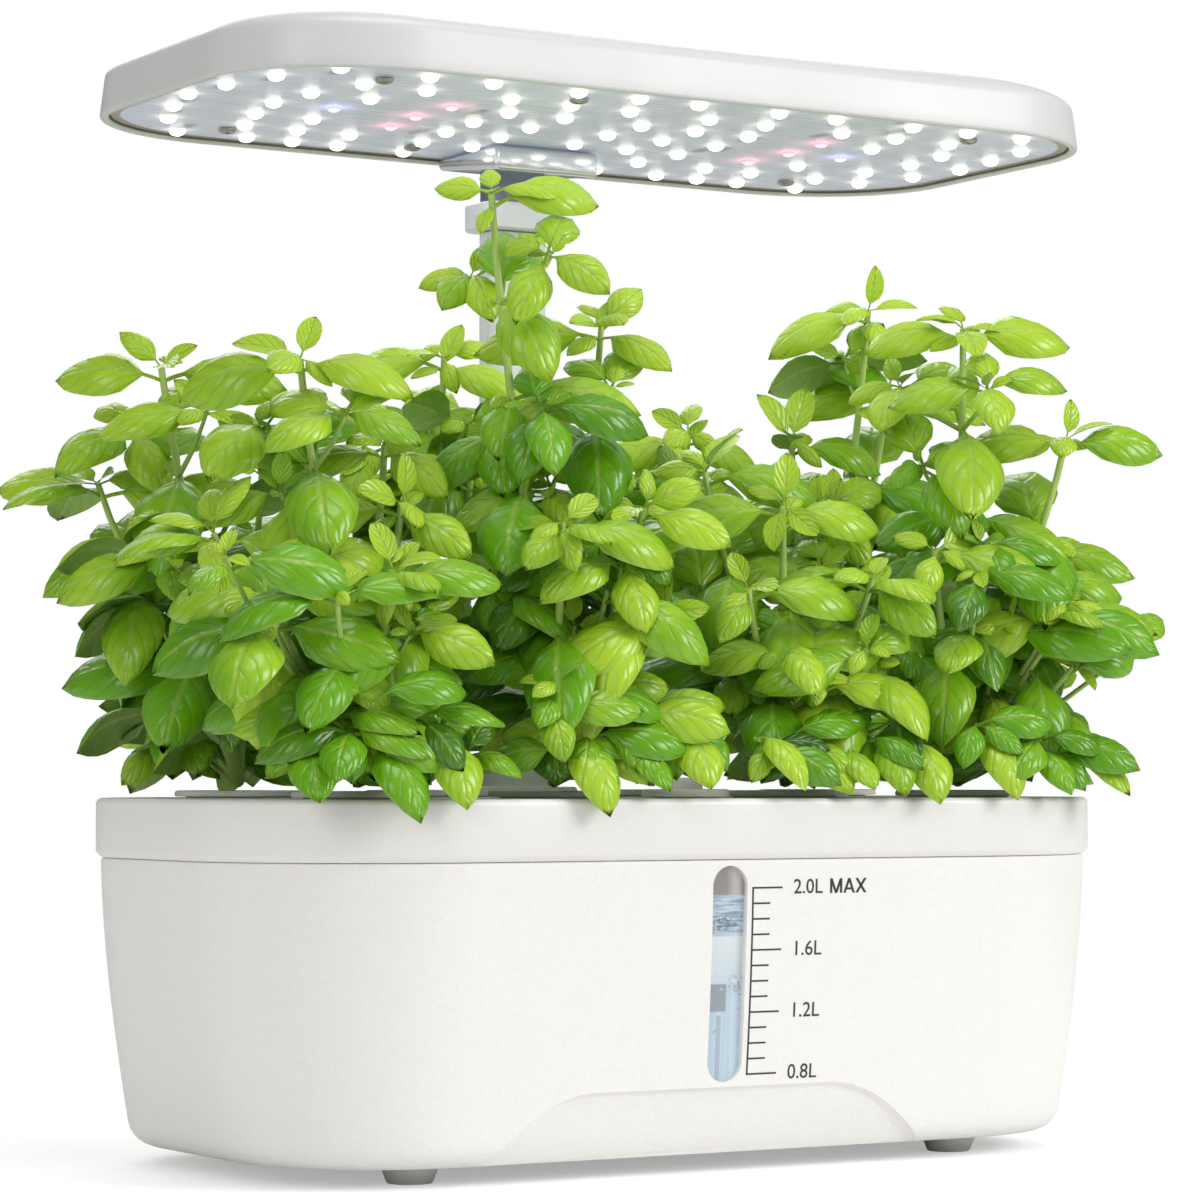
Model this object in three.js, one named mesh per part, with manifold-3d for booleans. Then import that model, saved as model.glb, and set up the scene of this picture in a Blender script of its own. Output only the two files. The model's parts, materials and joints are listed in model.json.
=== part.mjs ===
// Countertop hydroponic garden: a water tank on four feet, a lid that carries net baskets of basil,
// and an LED grow lamp on a telescoping mast. Millimetres, +Z up. The origin is the middle of the
// footprint, on the surface that the feet stand on. The front, with the sight window, faces -Y.

import * as THREE from "three";
import { mergeVertices } from "three/addons/utils/BufferGeometryUtils.js";
import Module from "manifold-3d";

const wasm = await Module();
wasm.setup();

// General clearances and facet counts
const seatGap = 0.3;
const slideGap = 0.4;
const cutOverrun = 5;
const cornerSteps = 7;
const boreSides = 12;
const smallSides = 8;
const roundSides = 16;

// Lid: the upper band of the tank, seen as a smooth ring round the top
const lidLength = 270;
const lidDepth = 145.2;
const lidCornerX = 56.5;
const lidCornerY = 49.8;
const lidHeight = 15.4;
const lidWall = 2.4;
const lidPlate = 3;
const lidOverhang = 1.4;
const lidLowerChamfer = 1.3;
const lidUpperChamfer = 1;

// Tank body under the lid
const tankHeight = 75.3;
const standHeight = 4.9;
const tankWall = 3;
const tankFloor = 3;
const endTaper = 9;
const sideTaper = 5.5;
const barrelMiddleShare = 0.33;
const bottomFillet = 6;
const bottomFilletSteps = 4;
const barrelStationShares = [0, 0.22, 0.44, 0.66, 0.84];

// Sight window in the tank's front wall
const windowCentreX = -5.7;
const windowWidth = 10.4;
const windowHeight = 53.9;
const windowBelowLid = 1.9;
const lensSetback = 0.5;
const gasketThickness = 1.2;
const gasketMargin = 2.4;
const lensFlange = 1.6;
const lensFlangeMargin = 2.8;
const windowArcSteps = 8;

// Arched recess along the foot of the front wall
const archCentreX = -8;
const archFootWidth = 133;
const archTopWidth = 97;
const archHeight = 17.4;
const archShoulderRadius = 12;
const archBevel = 1.6;
const archDepth = 1.6;
const archCornerSteps = 6;

// Rubber feet
const footInsetX = 52;
const footInsetY = 29.6;
const footX = lidLength / 2 - footInsetX;
const footY = lidDepth / 2 - footInsetY;
const footBottomRadius = 5.8;
const footTopRadius = 7.3;
const footPegRadius = 2;
const footPegHeight = 1.9;

// Baskets in the lid
const basketColumnShares = [4 / 15, 31 / 45];
const basketInsetY = 38.6;
const [basketColumnInnerX, basketColumnOuterX] = basketColumnShares.map(
  (share) => (share * lidLength) / 2,
);
const basketRowY = lidDepth / 2 - basketInsetY;
const basketRimRadius = 17;
const basketRimThickness = 1.6;
const basketTopRadius = 14;
const basketBottomRadius = 10.5;
const basketDepth = 43;
const basketWall = 1.4;
const basketSlotCount = 4;
const basketSlotWidth = 3;
const basketSlotHeight = 20;
const basketSlotRise = 7;
const basketDrainRadius = 3;

// Growing sponges in the baskets
const spongeBelowRim = 0.6;
const spongePocketRadius = 2.6;
const spongePocketDepth = 9;

// Basil plants, one rooted in each sponge
const stemBaseRadius = 1.7;
const stemTopRadius = 0.8;
const stemSides = 6;
const stemSteps = 5;
const firstLeafRise = 20;
const leafLength = 39;
const leafWidth = 23;
const leafThickness = 0.9;
const leafCup = 3;
const leafDroop = 9;
const petioleRadius = 0.8;
const leafRiseShare = 0.55;
const neighbourMargin = 2;
const leafOverhangX = 20;
const leafOverhangY = 7.4;
const outerReachX = lidLength / 2 + leafOverhangX;
const outerReachY = lidDepth / 2 + leafOverhangY;
const stemLeanX = 40;
const stemLeanY = 12;
const leafPairs = 6;
const plantBelowLamp = 13.6;
const plantHeightShares = [0.66, 1, 0.78, 0.9, 0.76, 0.84, 0.72, 0.94];
const topPairShare = 0.94;
const youngLeafShare = 0.35;
const leafSpreadShare = 0.14;
const leafTurnShare = 0.08;
const stalkShare = 0.14;
const leafStationShares = [
  { along: 0.45, half: 1, cup: 1 },
  { along: 0.78, half: 0.74, cup: 0.7 },
];

// Fill port and its cap
const portInsetY = 31.6;
const portY = lidDepth / 2 - portInsetY;
const portRadius = 9;
const portWall = 1.6;
const portDepth = 12;
const capRadius = 11.5;
const capThickness = 2;
const capPlugDepth = 3;
const capTabWidth = 10;
const capTabThickness = 2;
const capTabHeight = 3;

// Mast: a fixed outer tube and an inner tube that slides in it
const mastInsetY = 22.6;
const mastY = lidDepth / 2 - mastInsetY;
const mastWidth = 18.5;
const mastDepth = 11;
const mastCorner = 4;
const mastWall = 1.5;
const mastRise = 158.9;
const mastCornerSteps = 4;
const innerWall = 1.2;
const innerIntoHood = 2;
const innerInsertion = 150;

// Mast socket on the lid, with the power inlet at its back
const socketFlangeWidth = 33;
const socketFlangeDepth = 24;
const socketFlangeThickness = 2.4;
const socketSleeveHeight = 9;
const socketWall = 2.4;
const socketSpigotDepth = 12;
const socketFloor = 2;
const socketCorner = 5;
const inletHousingWidth = 12;
const inletHousingHeight = 10;
const inletHousingLength = 9;
const inletRadius = 3.6;
const inletBore = 2.4;
const inletPinRadius = 0.7;
const inletDepth = 7;
const inletLip = 0.8;
const inletBack = 1;

// Lamp head: the hood under the lamp that the inner tube ends in
const collarWidth = 24.5;
const collarDepth = 17;
const collarHeight = 7.8;
const neckWidth = 20;
const neckDepth = 13;
const hoodWidth = 33;
const hoodFrontReach = 20;
const hoodBackReach = 14;
const hoodFrontY = mastY - hoodFrontReach;
const hoodBackY = mastY + hoodBackReach;
const neckLength = 10.6;
const hoodFrontDrop = 6;
const hoodBackDrop = 2;
const wireHoleRadius = 2.5;

// Lamp shade
const shadeInsetX = 1.8;
const shadeInsetY = 6.4;
const shadeLength = lidLength - 2 * shadeInsetX;
const shadeDepth = lidDepth - 2 * shadeInsetY;
const shadeCornerX = 44.1;
const shadeCornerY = 39;
const shadeOffsetY = 1.7;
const shadeSkirtHeight = 14.3;
const shadeDraft = 1.2;
const shadeTopRadius = 5;
const shadeTopSteps = 4;
const shadeWall = 2.4;
const shadeTopWall = 2.6;

// LED board
const boardRecess = 1.3;
const boardThickness = 1.6;
const ledLength = 2.8;
const ledWidth = 2.8;
const ledHeight = 0.7;
const ledRowMargin = 12.2;
const ledRows = [
  { count: 11, halfSpanShare: 0.785 },
  { count: 12, halfSpanShare: 0.853 },
  { count: 13, halfSpanShare: 0.893 },
  { count: 13, halfSpanShare: 0.91 },
  { count: 13, halfSpanShare: 0.88 },
  { count: 13, halfSpanShare: 0.83 },
  { count: 13, halfSpanShare: 0.748 },
];
const ledRowPitch = (shadeDepth - 2 * ledRowMargin) / (ledRows.length - 1);
const screwInsetX = 42.2;
const screwInsetY = 21.2;
const screwCornerX = shadeLength / 2 - screwInsetX;
const screwRowY = shadeDepth / 2 - screwInsetY;
const screwMiddleX = 34;
const screwHeadRadius = 2.5;
const screwHeadHeight = 1.1;
const screwShankRadius = 1.1;
const screwShankLength = 9;
const screwSlotWidth = 0.7;
const screwSlotDepth = 0.5;
const screwSlotLength = 3.4;
const bossRadius = 3.2;

// Lamp electronics and the push button in the shade's top
const driverLength = 86;
const driverDepth = 34;
const driverThickness = 1.6;
const driverX = 52;
const driverRise = 3.2;
const driverPostRadius = 2;
const driverPartLength = 18;
const driverPartDepth = 12;
const driverPartHeight = 4.5;
const driverPostInset = 5;
const buttonRadius = 6;
const buttonProud = 1.4;
const buttonFlangeRadius = 7.4;
const buttonFlangeThickness = 1;
const buttonTravel = 0.8;
const buttonX = 0;
const switchSize = 6;
const switchPlunger = 1.6;
const switchPlungerHeight = 1;

// Submersible pump behind the sight window
const pumpX = -8;
const pumpInsetY = 28.6;
const pumpY = -(lidDepth / 2 - pumpInsetY);
const pumpLength = 34;
const pumpDepth = 26;
const pumpHeight = 34;
const pumpCorner = 4;
const pumpCoverThickness = 3;
const chamberRadius = 10;
const chamberDepth = 9;
const rotorHubRadius = 3.2;
const rotorRadius = 8.6;
const rotorThickness = 6;
const rotorBladeThickness = 1.4;
const rotorBlades = 6;
const rotorShaftRadius = 1.2;
const rotorShaftLength = 8;
const bearingGap = 0.2;
const inletHoleRadius = 5;
const grilleBar = 1.6;
const nozzleRadius = 5;
const nozzleBore = 3.2;
const nozzleHeight = 11;
const nozzleSeat = 3;
const cupRadius = 5;
const cupNeckRadius = 2;
const cupHeight = 4.6;
const cupPegHeight = 2.6;
const cupLip = 1;

// Heights that follow from the sizes above
const tankBase = standHeight;
const tankShoulder = tankBase + tankHeight;
const lidTop = tankShoulder + lidHeight;
const lidUnderside = lidTop - lidPlate;
const mastTopHeight = lidTop + mastRise;
const collarBottom = mastTopHeight + seatGap;
const collarTop = collarBottom + collarHeight;
const hoodBackZ = collarTop + neckLength;
const shadeBottomZ = hoodBackZ + hoodBackDrop;
const hoodFrontZ = shadeBottomZ - hoodFrontDrop;
const tallestPlant = shadeBottomZ - lidTop - plantBelowLamp;
const boardBottom = shadeBottomZ + boardRecess;
const boardTop = boardBottom + boardThickness;
const shadeSkirtTop = shadeBottomZ + shadeSkirtHeight;
const shadeTop = shadeSkirtTop + shadeTopRadius;
const shadeCeiling = shadeTop - shadeTopWall;
const basketSeat = lidTop + seatGap;
const basketRimTop = basketSeat + basketRimThickness;
const basketBottom = basketSeat - basketDepth;

// Solids from closed surfaces

function solidOf(geometry) {
  const bare = geometry.clone();
  bare.deleteAttribute("normal");
  bare.deleteAttribute("uv");
  const merged = mergeVertices(bare, 1e-4);
  const corners = merged.index.array;
  const kept = [];
  for (let i = 0; i < corners.length; i += 3) {
    const [a, b, c] = corners.slice(i, i + 3);
    if (a !== b && b !== c && c !== a) kept.push(a, b, c);
  }
  const make = (triangles) =>
    new wasm.Manifold(
      new wasm.Mesh({
        numProp: 3,
        vertProperties: merged.attributes.position.array,
        triVerts: new Uint32Array(triangles),
      }),
    );
  const made = make(kept);
  return made.volume() < 0 ? make(kept.reverse()) : made;
}

function geometryOf(solid) {
  const mesh = solid.getMesh();
  const geometry = new THREE.BufferGeometry();
  const stride = mesh.numProp;
  const places = new Float32Array(mesh.numVert * 3);
  for (let i = 0; i < mesh.numVert; i++) {
    places.set(mesh.vertProperties.subarray(i * stride, i * stride + 3), i * 3);
  }
  geometry.setAttribute("position", new THREE.BufferAttribute(places, 3));
  geometry.setIndex(new THREE.BufferAttribute(mesh.triVerts, 1));
  geometry.computeVertexNormals();
  return geometry;
}

const joined = (solids) => solids.reduce((sum, next) => sum.add(next));

// A closed skin through rings of equal count, with a point that closes each end.
function skin(rings, startPoint, endPoint) {
  const count = rings[0].length;
  const points = [startPoint, ...rings.flat(), endPoint];
  const last = points.length - 1;
  const at = (ring, i) => 1 + ring * count + (i % count);
  const faces = [];
  for (let i = 0; i < count; i++) {
    faces.push(0, at(0, i + 1), at(0, i));
    faces.push(last, at(rings.length - 1, i), at(rings.length - 1, i + 1));
    for (let r = 0; r + 1 < rings.length; r++) {
      faces.push(at(r, i), at(r, i + 1), at(r + 1, i + 1));
      faces.push(at(r, i), at(r + 1, i + 1), at(r + 1, i));
    }
  }
  const geometry = new THREE.BufferGeometry().setFromPoints(points);
  geometry.setIndex(faces);
  return solidOf(geometry);
}

// A rounded rectangle with elliptical corners, drawn in by an inset.
function roundedOutline(size, insetX = 0, insetY = insetX, steps = cornerSteps) {
  const halfX = size.length / 2 - insetX;
  const halfY = size.depth / 2 - insetY;
  const radiusX = Math.max(size.cornerX - insetX, size.cornerX / 4);
  const radiusY = Math.max(size.cornerY - insetY, size.cornerY / 4);
  const points = [];
  for (let quarter = 0; quarter < 4; quarter++) {
    const signX = quarter === 0 || quarter === 3 ? 1 : -1;
    const signY = quarter < 2 ? 1 : -1;
    for (let i = 0; i <= steps; i++) {
      const angle = (quarter + i / steps) * (Math.PI / 2);
      const x = signX * (halfX - radiusX) + radiusX * Math.cos(angle);
      const y = signY * (halfY - radiusY) + radiusY * Math.sin(angle);
      points.push(new THREE.Vector2(x, y));
    }
  }
  return points;
}

// A loft of rounded rectangles. Each level has a height z and insets from the full outline.
function loft(size, levels, centreX = 0, centreY = 0) {
  const rings = levels.map((level) =>
    roundedOutline(size, level.insetX, level.insetY ?? level.insetX, size.steps).map(
      (p) => new THREE.Vector3(p.x + centreX, p.y + centreY, level.z),
    ),
  );
  const middle = (level) => new THREE.Vector3(centreX, centreY, level.z);
  return skin(rings, middle(levels[0]), middle(levels[levels.length - 1]));
}

function box(lowX, highX, lowY, highY, lowZ, highZ) {
  const geometry = new THREE.BoxGeometry(highX - lowX, highY - lowY, highZ - lowZ);
  geometry.translate((lowX + highX) / 2, (lowY + highY) / 2, (lowZ + highZ) / 2);
  return solidOf(geometry);
}

function cylinder(radius, lowZ, highZ, x, y, sides = boreSides) {
  const geometry = new THREE.CylinderGeometry(radius, radius, highZ - lowZ, sides);
  geometry.rotateX(Math.PI / 2);
  geometry.translate(x, y, (lowZ + highZ) / 2);
  return solidOf(geometry);
}

function cylinderAlongX(radius, lowX, highX, y, z, sides = boreSides) {
  const geometry = new THREE.CylinderGeometry(radius, radius, highX - lowX, sides);
  geometry.rotateZ(Math.PI / 2);
  geometry.translate((lowX + highX) / 2, y, z);
  return solidOf(geometry);
}

function cylinderAlongY(radius, lowY, highY, x, z, sides = boreSides) {
  const geometry = new THREE.CylinderGeometry(radius, radius, highY - lowY, sides);
  geometry.translate(x, (lowY + highY) / 2, z);
  return solidOf(geometry);
}

// A turned solid about an upright axis. The profile holds [radius, height] pairs.
function turned(profile, x, y, sides = roundSides) {
  const points = profile.map(([radius, height]) => new THREE.Vector2(radius, height));
  const geometry = new THREE.LatheGeometry(points, sides);
  geometry.rotateX(Math.PI / 2);
  geometry.translate(x, y, 0);
  return solidOf(geometry);
}

// A prism of an outline drawn in X and Z, between two depths in Y.
function prismAlongY(outline, lowY, highY) {
  const geometry = new THREE.ExtrudeGeometry(new THREE.Shape(outline), {
    depth: highY - lowY,
    bevelEnabled: false,
  });
  geometry.rotateX(Math.PI / 2);
  geometry.translate(0, highY, 0);
  return solidOf(geometry);
}

// A prism of an outline drawn in Y and Z, between two places in X.
function prismAlongX(outline, lowX, highX) {
  const geometry = new THREE.ExtrudeGeometry(new THREE.Shape(outline), {
    depth: highX - lowX,
    bevelEnabled: false,
  });
  geometry.applyMatrix4(
    new THREE.Matrix4().makeBasis(
      new THREE.Vector3(0, 1, 0),
      new THREE.Vector3(0, 0, 1),
      new THREE.Vector3(1, 0, 0),
    ),
  );
  geometry.translate(lowX, 0, 0);
  return solidOf(geometry);
}

// Tank

const tankOutline = {
  length: lidLength,
  depth: lidDepth,
  cornerX: lidCornerX,
  cornerY: lidCornerY,
};

// How far the tank's outer face lies inside the lid's outline at a height, as a share of the taper.
function barrelShare(z) {
  const drop = Math.max(tankShoulder - z, 0) / tankHeight;
  return Math.pow(drop, Math.log(barrelMiddleShare) / Math.log(1 / 2));
}

function tankInset(z, extra = 0) {
  const fillet = Math.min(bottomFillet, tankHeight / 4);
  const rise = Math.min(Math.max(z - tankBase, 0), fillet);
  const round = fillet - Math.sqrt(fillet * fillet - (fillet - rise) * (fillet - rise));
  return {
    z,
    insetX: lidOverhang + endTaper * barrelShare(z) + round + extra,
    insetY: lidOverhang + sideTaper * barrelShare(z) + round + extra,
  };
}

function tankHeights() {
  const fillet = Math.min(bottomFillet, tankHeight / 4);
  const heights = [];
  for (let i = 0; i < bottomFilletSteps; i++) {
    const angle = (i / bottomFilletSteps) * (Math.PI / 2);
    heights.push(tankBase + fillet * (1 - Math.cos(angle)));
  }
  const straight = tankShoulder - seatGap - tankBase - fillet;
  for (const share of barrelStationShares) {
    heights.push(tankBase + fillet + share * straight);
  }
  heights.push(tankShoulder - seatGap);
  return heights;
}

const lidInnerInset = lidWall;
const tankNeckInset = lidInnerInset + slideGap;
const tankNeckTop = lidUnderside - seatGap;

// The tank's outer body drawn in by an extra inset, up to its shoulder.
const tankBody = (extra) => loft(tankOutline, tankHeights().map((z) => tankInset(z, extra)));

function tankCavity() {
  const floorTop = tankBase + tankFloor;
  const heights = tankHeights().filter((z) => z > floorTop);
  const levels = [floorTop, ...heights].map((z) => tankInset(z, tankWall));
  const last = levels[levels.length - 1];
  levels.push({ ...last, z: tankNeckTop + cutOverrun });
  return loft(tankOutline, levels);
}

// The stadium of the sight window, grown by a margin.
const windowTop = tankShoulder - windowBelowLid;

function windowPrism(margin, lowY, highY) {
  const radius = windowWidth / 2 + margin;
  const low = windowTop - windowHeight + windowWidth / 2;
  const high = windowTop - windowWidth / 2;
  const outline = [];
  for (let i = 0; i <= windowArcSteps; i++) {
    const angle = (i / windowArcSteps) * Math.PI;
    const x = windowCentreX + radius * Math.cos(angle);
    outline.push(new THREE.Vector2(x, high + radius * Math.sin(angle)));
  }
  for (let i = 0; i <= windowArcSteps; i++) {
    const angle = Math.PI + (i / windowArcSteps) * Math.PI;
    const x = windowCentreX + radius * Math.cos(angle);
    outline.push(new THREE.Vector2(x, low + radius * Math.sin(angle)));
  }
  return prismAlongY(outline, lowY, highY);
}

const frontCutY = -(lidDepth / 2 + cutOverrun);

// The arched recess: a pocket whose floor follows the front wall.
function archOutline(shrink) {
  const footHalf = archFootWidth / 2 - shrink;
  const topHalf = archTopWidth / 2 - shrink;
  const low = tankBase - cutOverrun;
  const high = tankBase + archHeight - shrink;
  const slope = (footHalf - topHalf) / archHeight;
  const shoulder = new THREE.Path();
  shoulder.moveTo(footHalf + slope * cutOverrun, low);
  shoulder.lineTo(topHalf + slope * archShoulderRadius, high - archShoulderRadius);
  shoulder.quadraticCurveTo(topHalf, high, topHalf - archShoulderRadius, high);
  const right = shoulder.getPoints(archCornerSteps);
  const left = right.map((p) => new THREE.Vector2(-p.x, p.y)).reverse();
  return [...right, ...left].map((p) => new THREE.Vector2(p.x + archCentreX, p.y));
}

function archPocket() {
  const wallY = (z, depth) => -(lidDepth / 2 - tankInset(Math.max(z, tankBase)).insetY - depth);
  const outer = archOutline(0);
  const inner = archOutline(archBevel);
  const rings = [
    outer.map((p) => new THREE.Vector3(p.x, frontCutY, p.y)),
    outer.map((p) => new THREE.Vector3(p.x, wallY(p.y, 0), p.y)),
    inner.map((p) => new THREE.Vector3(p.x, wallY(p.y, archDepth), p.y)),
  ];
  const middleZ = tankBase + archHeight / 3;
  return skin(
    rings,
    new THREE.Vector3(archCentreX, frontCutY, middleZ),
    new THREE.Vector3(archCentreX, wallY(middleZ, archDepth), middleZ),
  );
}

const footPlaces = [
  { name: "foot_front_left", x: -footX, y: -footY },
  { name: "foot_front_right", x: footX, y: -footY },
  { name: "foot_rear_left", x: -footX, y: footY },
  { name: "foot_rear_right", x: footX, y: footY },
];

function tankShell() {
  const levels = tankHeights().map((z) => tankInset(z));
  levels.push({ z: tankShoulder - seatGap, insetX: tankNeckInset });
  levels.push({ z: tankNeckTop, insetX: tankNeckInset });
  let shell = loft(tankOutline, levels).subtract(tankCavity());
  shell = shell.subtract(windowPrism(0, frontCutY, 0));
  shell = shell.subtract(archPocket());
  for (const place of footPlaces) {
    const radius = footPegRadius + seatGap;
    const depth = footPegHeight + seatGap;
    shell = shell.subtract(
      cylinder(radius, tankBase - cutOverrun, tankBase + depth, place.x, place.y),
    );
  }
  return shell;
}

function foot(place) {
  const top = tankBase - seatGap;
  const profile = [
    [0, 0],
    [footBottomRadius, 0],
    [footTopRadius, top],
    [footPegRadius, top],
    [footPegRadius, top + footPegHeight],
    [0, top + footPegHeight],
  ];
  return turned(profile, place.x, place.y);
}

const gasketFront = tankWall + seatGap;
const gasketBack = gasketFront + gasketThickness;
const flangeFront = gasketBack + seatGap;

function sightWindow() {
  const pane = windowPrism(-seatGap, frontCutY, 0)
    .intersect(tankBody(lensSetback))
    .subtract(tankBody(flangeFront + lensFlange));
  const flange = windowPrism(lensFlangeMargin, frontCutY, 0)
    .intersect(tankBody(flangeFront))
    .subtract(tankBody(flangeFront + lensFlange));
  return pane.add(flange);
}

function windowGasket() {
  return windowPrism(gasketMargin, frontCutY, 0)
    .subtract(windowPrism(0, frontCutY - cutOverrun, cutOverrun))
    .intersect(tankBody(gasketFront))
    .subtract(tankBody(gasketBack));
}

// Lid and fill port

const basketPlaces = [-1, 1].flatMap((row) =>
  [-basketColumnOuterX, -basketColumnInnerX, basketColumnInnerX, basketColumnOuterX].map(
    (x) => ({ x, y: row * basketRowY }),
  ),
);

const mastOutline = {
  length: mastWidth,
  depth: mastDepth,
  cornerX: mastCorner,
  cornerY: mastCorner,
  steps: mastCornerSteps,
};

const mastPrism = (inset, lowZ, highZ) =>
  loft(mastOutline, [{ z: lowZ, insetX: inset }, { z: highZ, insetX: inset }], 0, mastY);

function lid() {
  const shell = loft(tankOutline, [
    { z: tankShoulder, insetX: lidLowerChamfer },
    { z: tankShoulder + lidLowerChamfer, insetX: 0 },
    { z: lidTop - lidUpperChamfer, insetX: 0 },
    { z: lidTop, insetX: lidUpperChamfer },
  ]);
  const hollow = loft(tankOutline, [
    { z: tankShoulder - cutOverrun, insetX: lidWall },
    { z: lidUnderside, insetX: lidWall },
  ]);
  const portOuter = portRadius + portWall;
  let made = shell.subtract(hollow);
  made = made.add(
    cylinder(portOuter, lidUnderside - portDepth, lidUnderside + lidPlate / 2, 0, -portY, roundSides),
  );
  const portLow = lidUnderside - portDepth - cutOverrun;
  made = made.subtract(cylinder(portRadius, portLow, lidTop + cutOverrun, 0, -portY, roundSides));
  for (const place of basketPlaces) {
    const radius = basketTopRadius + slideGap;
    made = made.subtract(
      cylinder(radius, lidUnderside - cutOverrun, lidTop + cutOverrun, place.x, place.y, roundSides),
    );
  }
  const spigotHole = -(socketWall + 2 * slideGap);
  return made.subtract(mastPrism(spigotHole, lidUnderside - cutOverrun, lidTop + cutOverrun));
}

function fillCap() {
  const seat = lidTop + seatGap;
  const top = seat + capThickness;
  const plug = portRadius - slideGap;
  const hollow = plug - portWall;
  const cap = turned(
    [
      [0, top],
      [capRadius, top],
      [capRadius, seat],
      [plug, seat],
      [plug, seat - capPlugDepth],
      [hollow, seat - capPlugDepth],
      [hollow, seat],
      [0, seat],
    ],
    0,
    -portY,
  );
  const tabHalf = capTabWidth / 2;
  const tabY = -portY;
  const tabHalfY = capTabThickness / 2;
  return cap.add(
    box(-tabHalf, tabHalf, tabY - tabHalfY, tabY + tabHalfY, top - capThickness / 2, top + capTabHeight),
  );
}

// Baskets and sponges

const basketRadiusAt = (z) => {
  const share = (z - basketBottom) / (basketSeat - basketBottom);
  return basketBottomRadius + share * (basketTopRadius - basketBottomRadius);
};

function basket(place) {
  const innerTop = basketTopRadius - basketWall;
  const innerBottom = basketBottomRadius - basketWall;
  let made = turned(
    [
      [0, basketBottom],
      [basketBottomRadius, basketBottom],
      [basketTopRadius, basketSeat],
      [basketRimRadius, basketSeat],
      [basketRimRadius, basketRimTop],
      [innerTop, basketRimTop],
      [innerBottom, basketBottom + basketWall],
      [0, basketBottom + basketWall],
    ],
    place.x,
    place.y,
    boreSides,
  );
  const slotLow = basketBottom + basketSlotRise;
  for (let i = 0; i < basketSlotCount / 2; i++) {
    const slot = new THREE.BoxGeometry(2 * basketRimRadius, basketSlotWidth, basketSlotHeight);
    slot.rotateZ(((2 * i + 1) / basketSlotCount) * Math.PI);
    slot.translate(place.x, place.y, slotLow + basketSlotHeight / 2);
    made = made.subtract(solidOf(slot));
  }
  const drainLow = basketBottom - cutOverrun;
  return made.subtract(
    cylinder(basketDrainRadius, drainLow, basketBottom + cutOverrun, place.x, place.y),
  );
}

function sponge(place) {
  const low = basketBottom + basketWall + seatGap;
  const high = basketRimTop - spongeBelowRim;
  const fit = basketWall + seatGap;
  return turned(
    [
      [0, low],
      [basketRadiusAt(low) - fit, low],
      [basketRadiusAt(high) - fit, high],
      [spongePocketRadius, high],
      [spongePocketRadius, high - spongePocketDepth],
      [0, high - spongePocketDepth],
    ],
    place.x,
    place.y,
    boreSides,
  );
}

// Basil

// A repeatable spread of values from 0 to 1: steps round a circle by the golden section.
const goldenShare = (Math.sqrt(5) - 1) / 2;
const spread = (step) => (step * goldenShare) % 1;

// How far a leaf may reach from a stem before it meets a neighbour's ground or the outer limit.
function freeReach(place, stem, heading) {
  const innerSide = Math.abs(place.x) < (basketColumnInnerX + basketColumnOuterX) / 2;
  const border = (basketColumnInnerX + basketColumnOuterX) / 2;
  const signX = Math.sign(place.x);
  const mastSide = place.y > 0 ? collarWidth / 2 : 0;
  const nearX = innerSide ? mastSide : border;
  const farX = innerSide ? border : outerReachX + neighbourMargin;
  const limitX = heading.x * signX > 0 ? farX - stem.x * signX : stem.x * signX - nearX;
  const signY = Math.sign(place.y);
  const farY = outerReachY + neighbourMargin;
  const limitY = heading.y * signY > 0 ? farY - stem.y * signY : stem.y * signY;
  const reachX = (limitX - neighbourMargin) / Math.max(Math.abs(heading.x), 1e-3);
  const reachY = (limitY - neighbourMargin) / Math.max(Math.abs(heading.y), 1e-3);
  return Math.min(reachX, reachY);
}

function leaf(stem, heading, reach) {
  const across = new THREE.Vector3(-heading.y, heading.x, 0);
  const width = (leafWidth * reach) / leafLength;
  const at = (share, side, lift) => {
    const height = leafRiseShare * reach * share - leafDroop * share * share * share + lift;
    return new THREE.Vector3(
      stem.x + heading.x * reach * share + (across.x * side * width) / 2,
      stem.y + heading.y * reach * share + (across.y * side * width) / 2,
      stem.z + height,
    );
  };
  const stalkHalf = (2 * petioleRadius) / width;
  const ringAt = (along, half, cup, thick) => [
    at(along, half, cup * leafCup),
    at(along, 0, thick),
    at(along, -half, cup * leafCup),
    at(along, 0, -thick),
  ];
  const rings = [ringAt(stalkShare, stalkHalf, 0, petioleRadius)];
  for (const { along, half, cup } of leafStationShares) {
    rings.push(ringAt(along, half, cup, leafThickness / 2));
  }
  return skin(rings, at(0, 0, 0), at(1, 0, 0));
}

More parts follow.
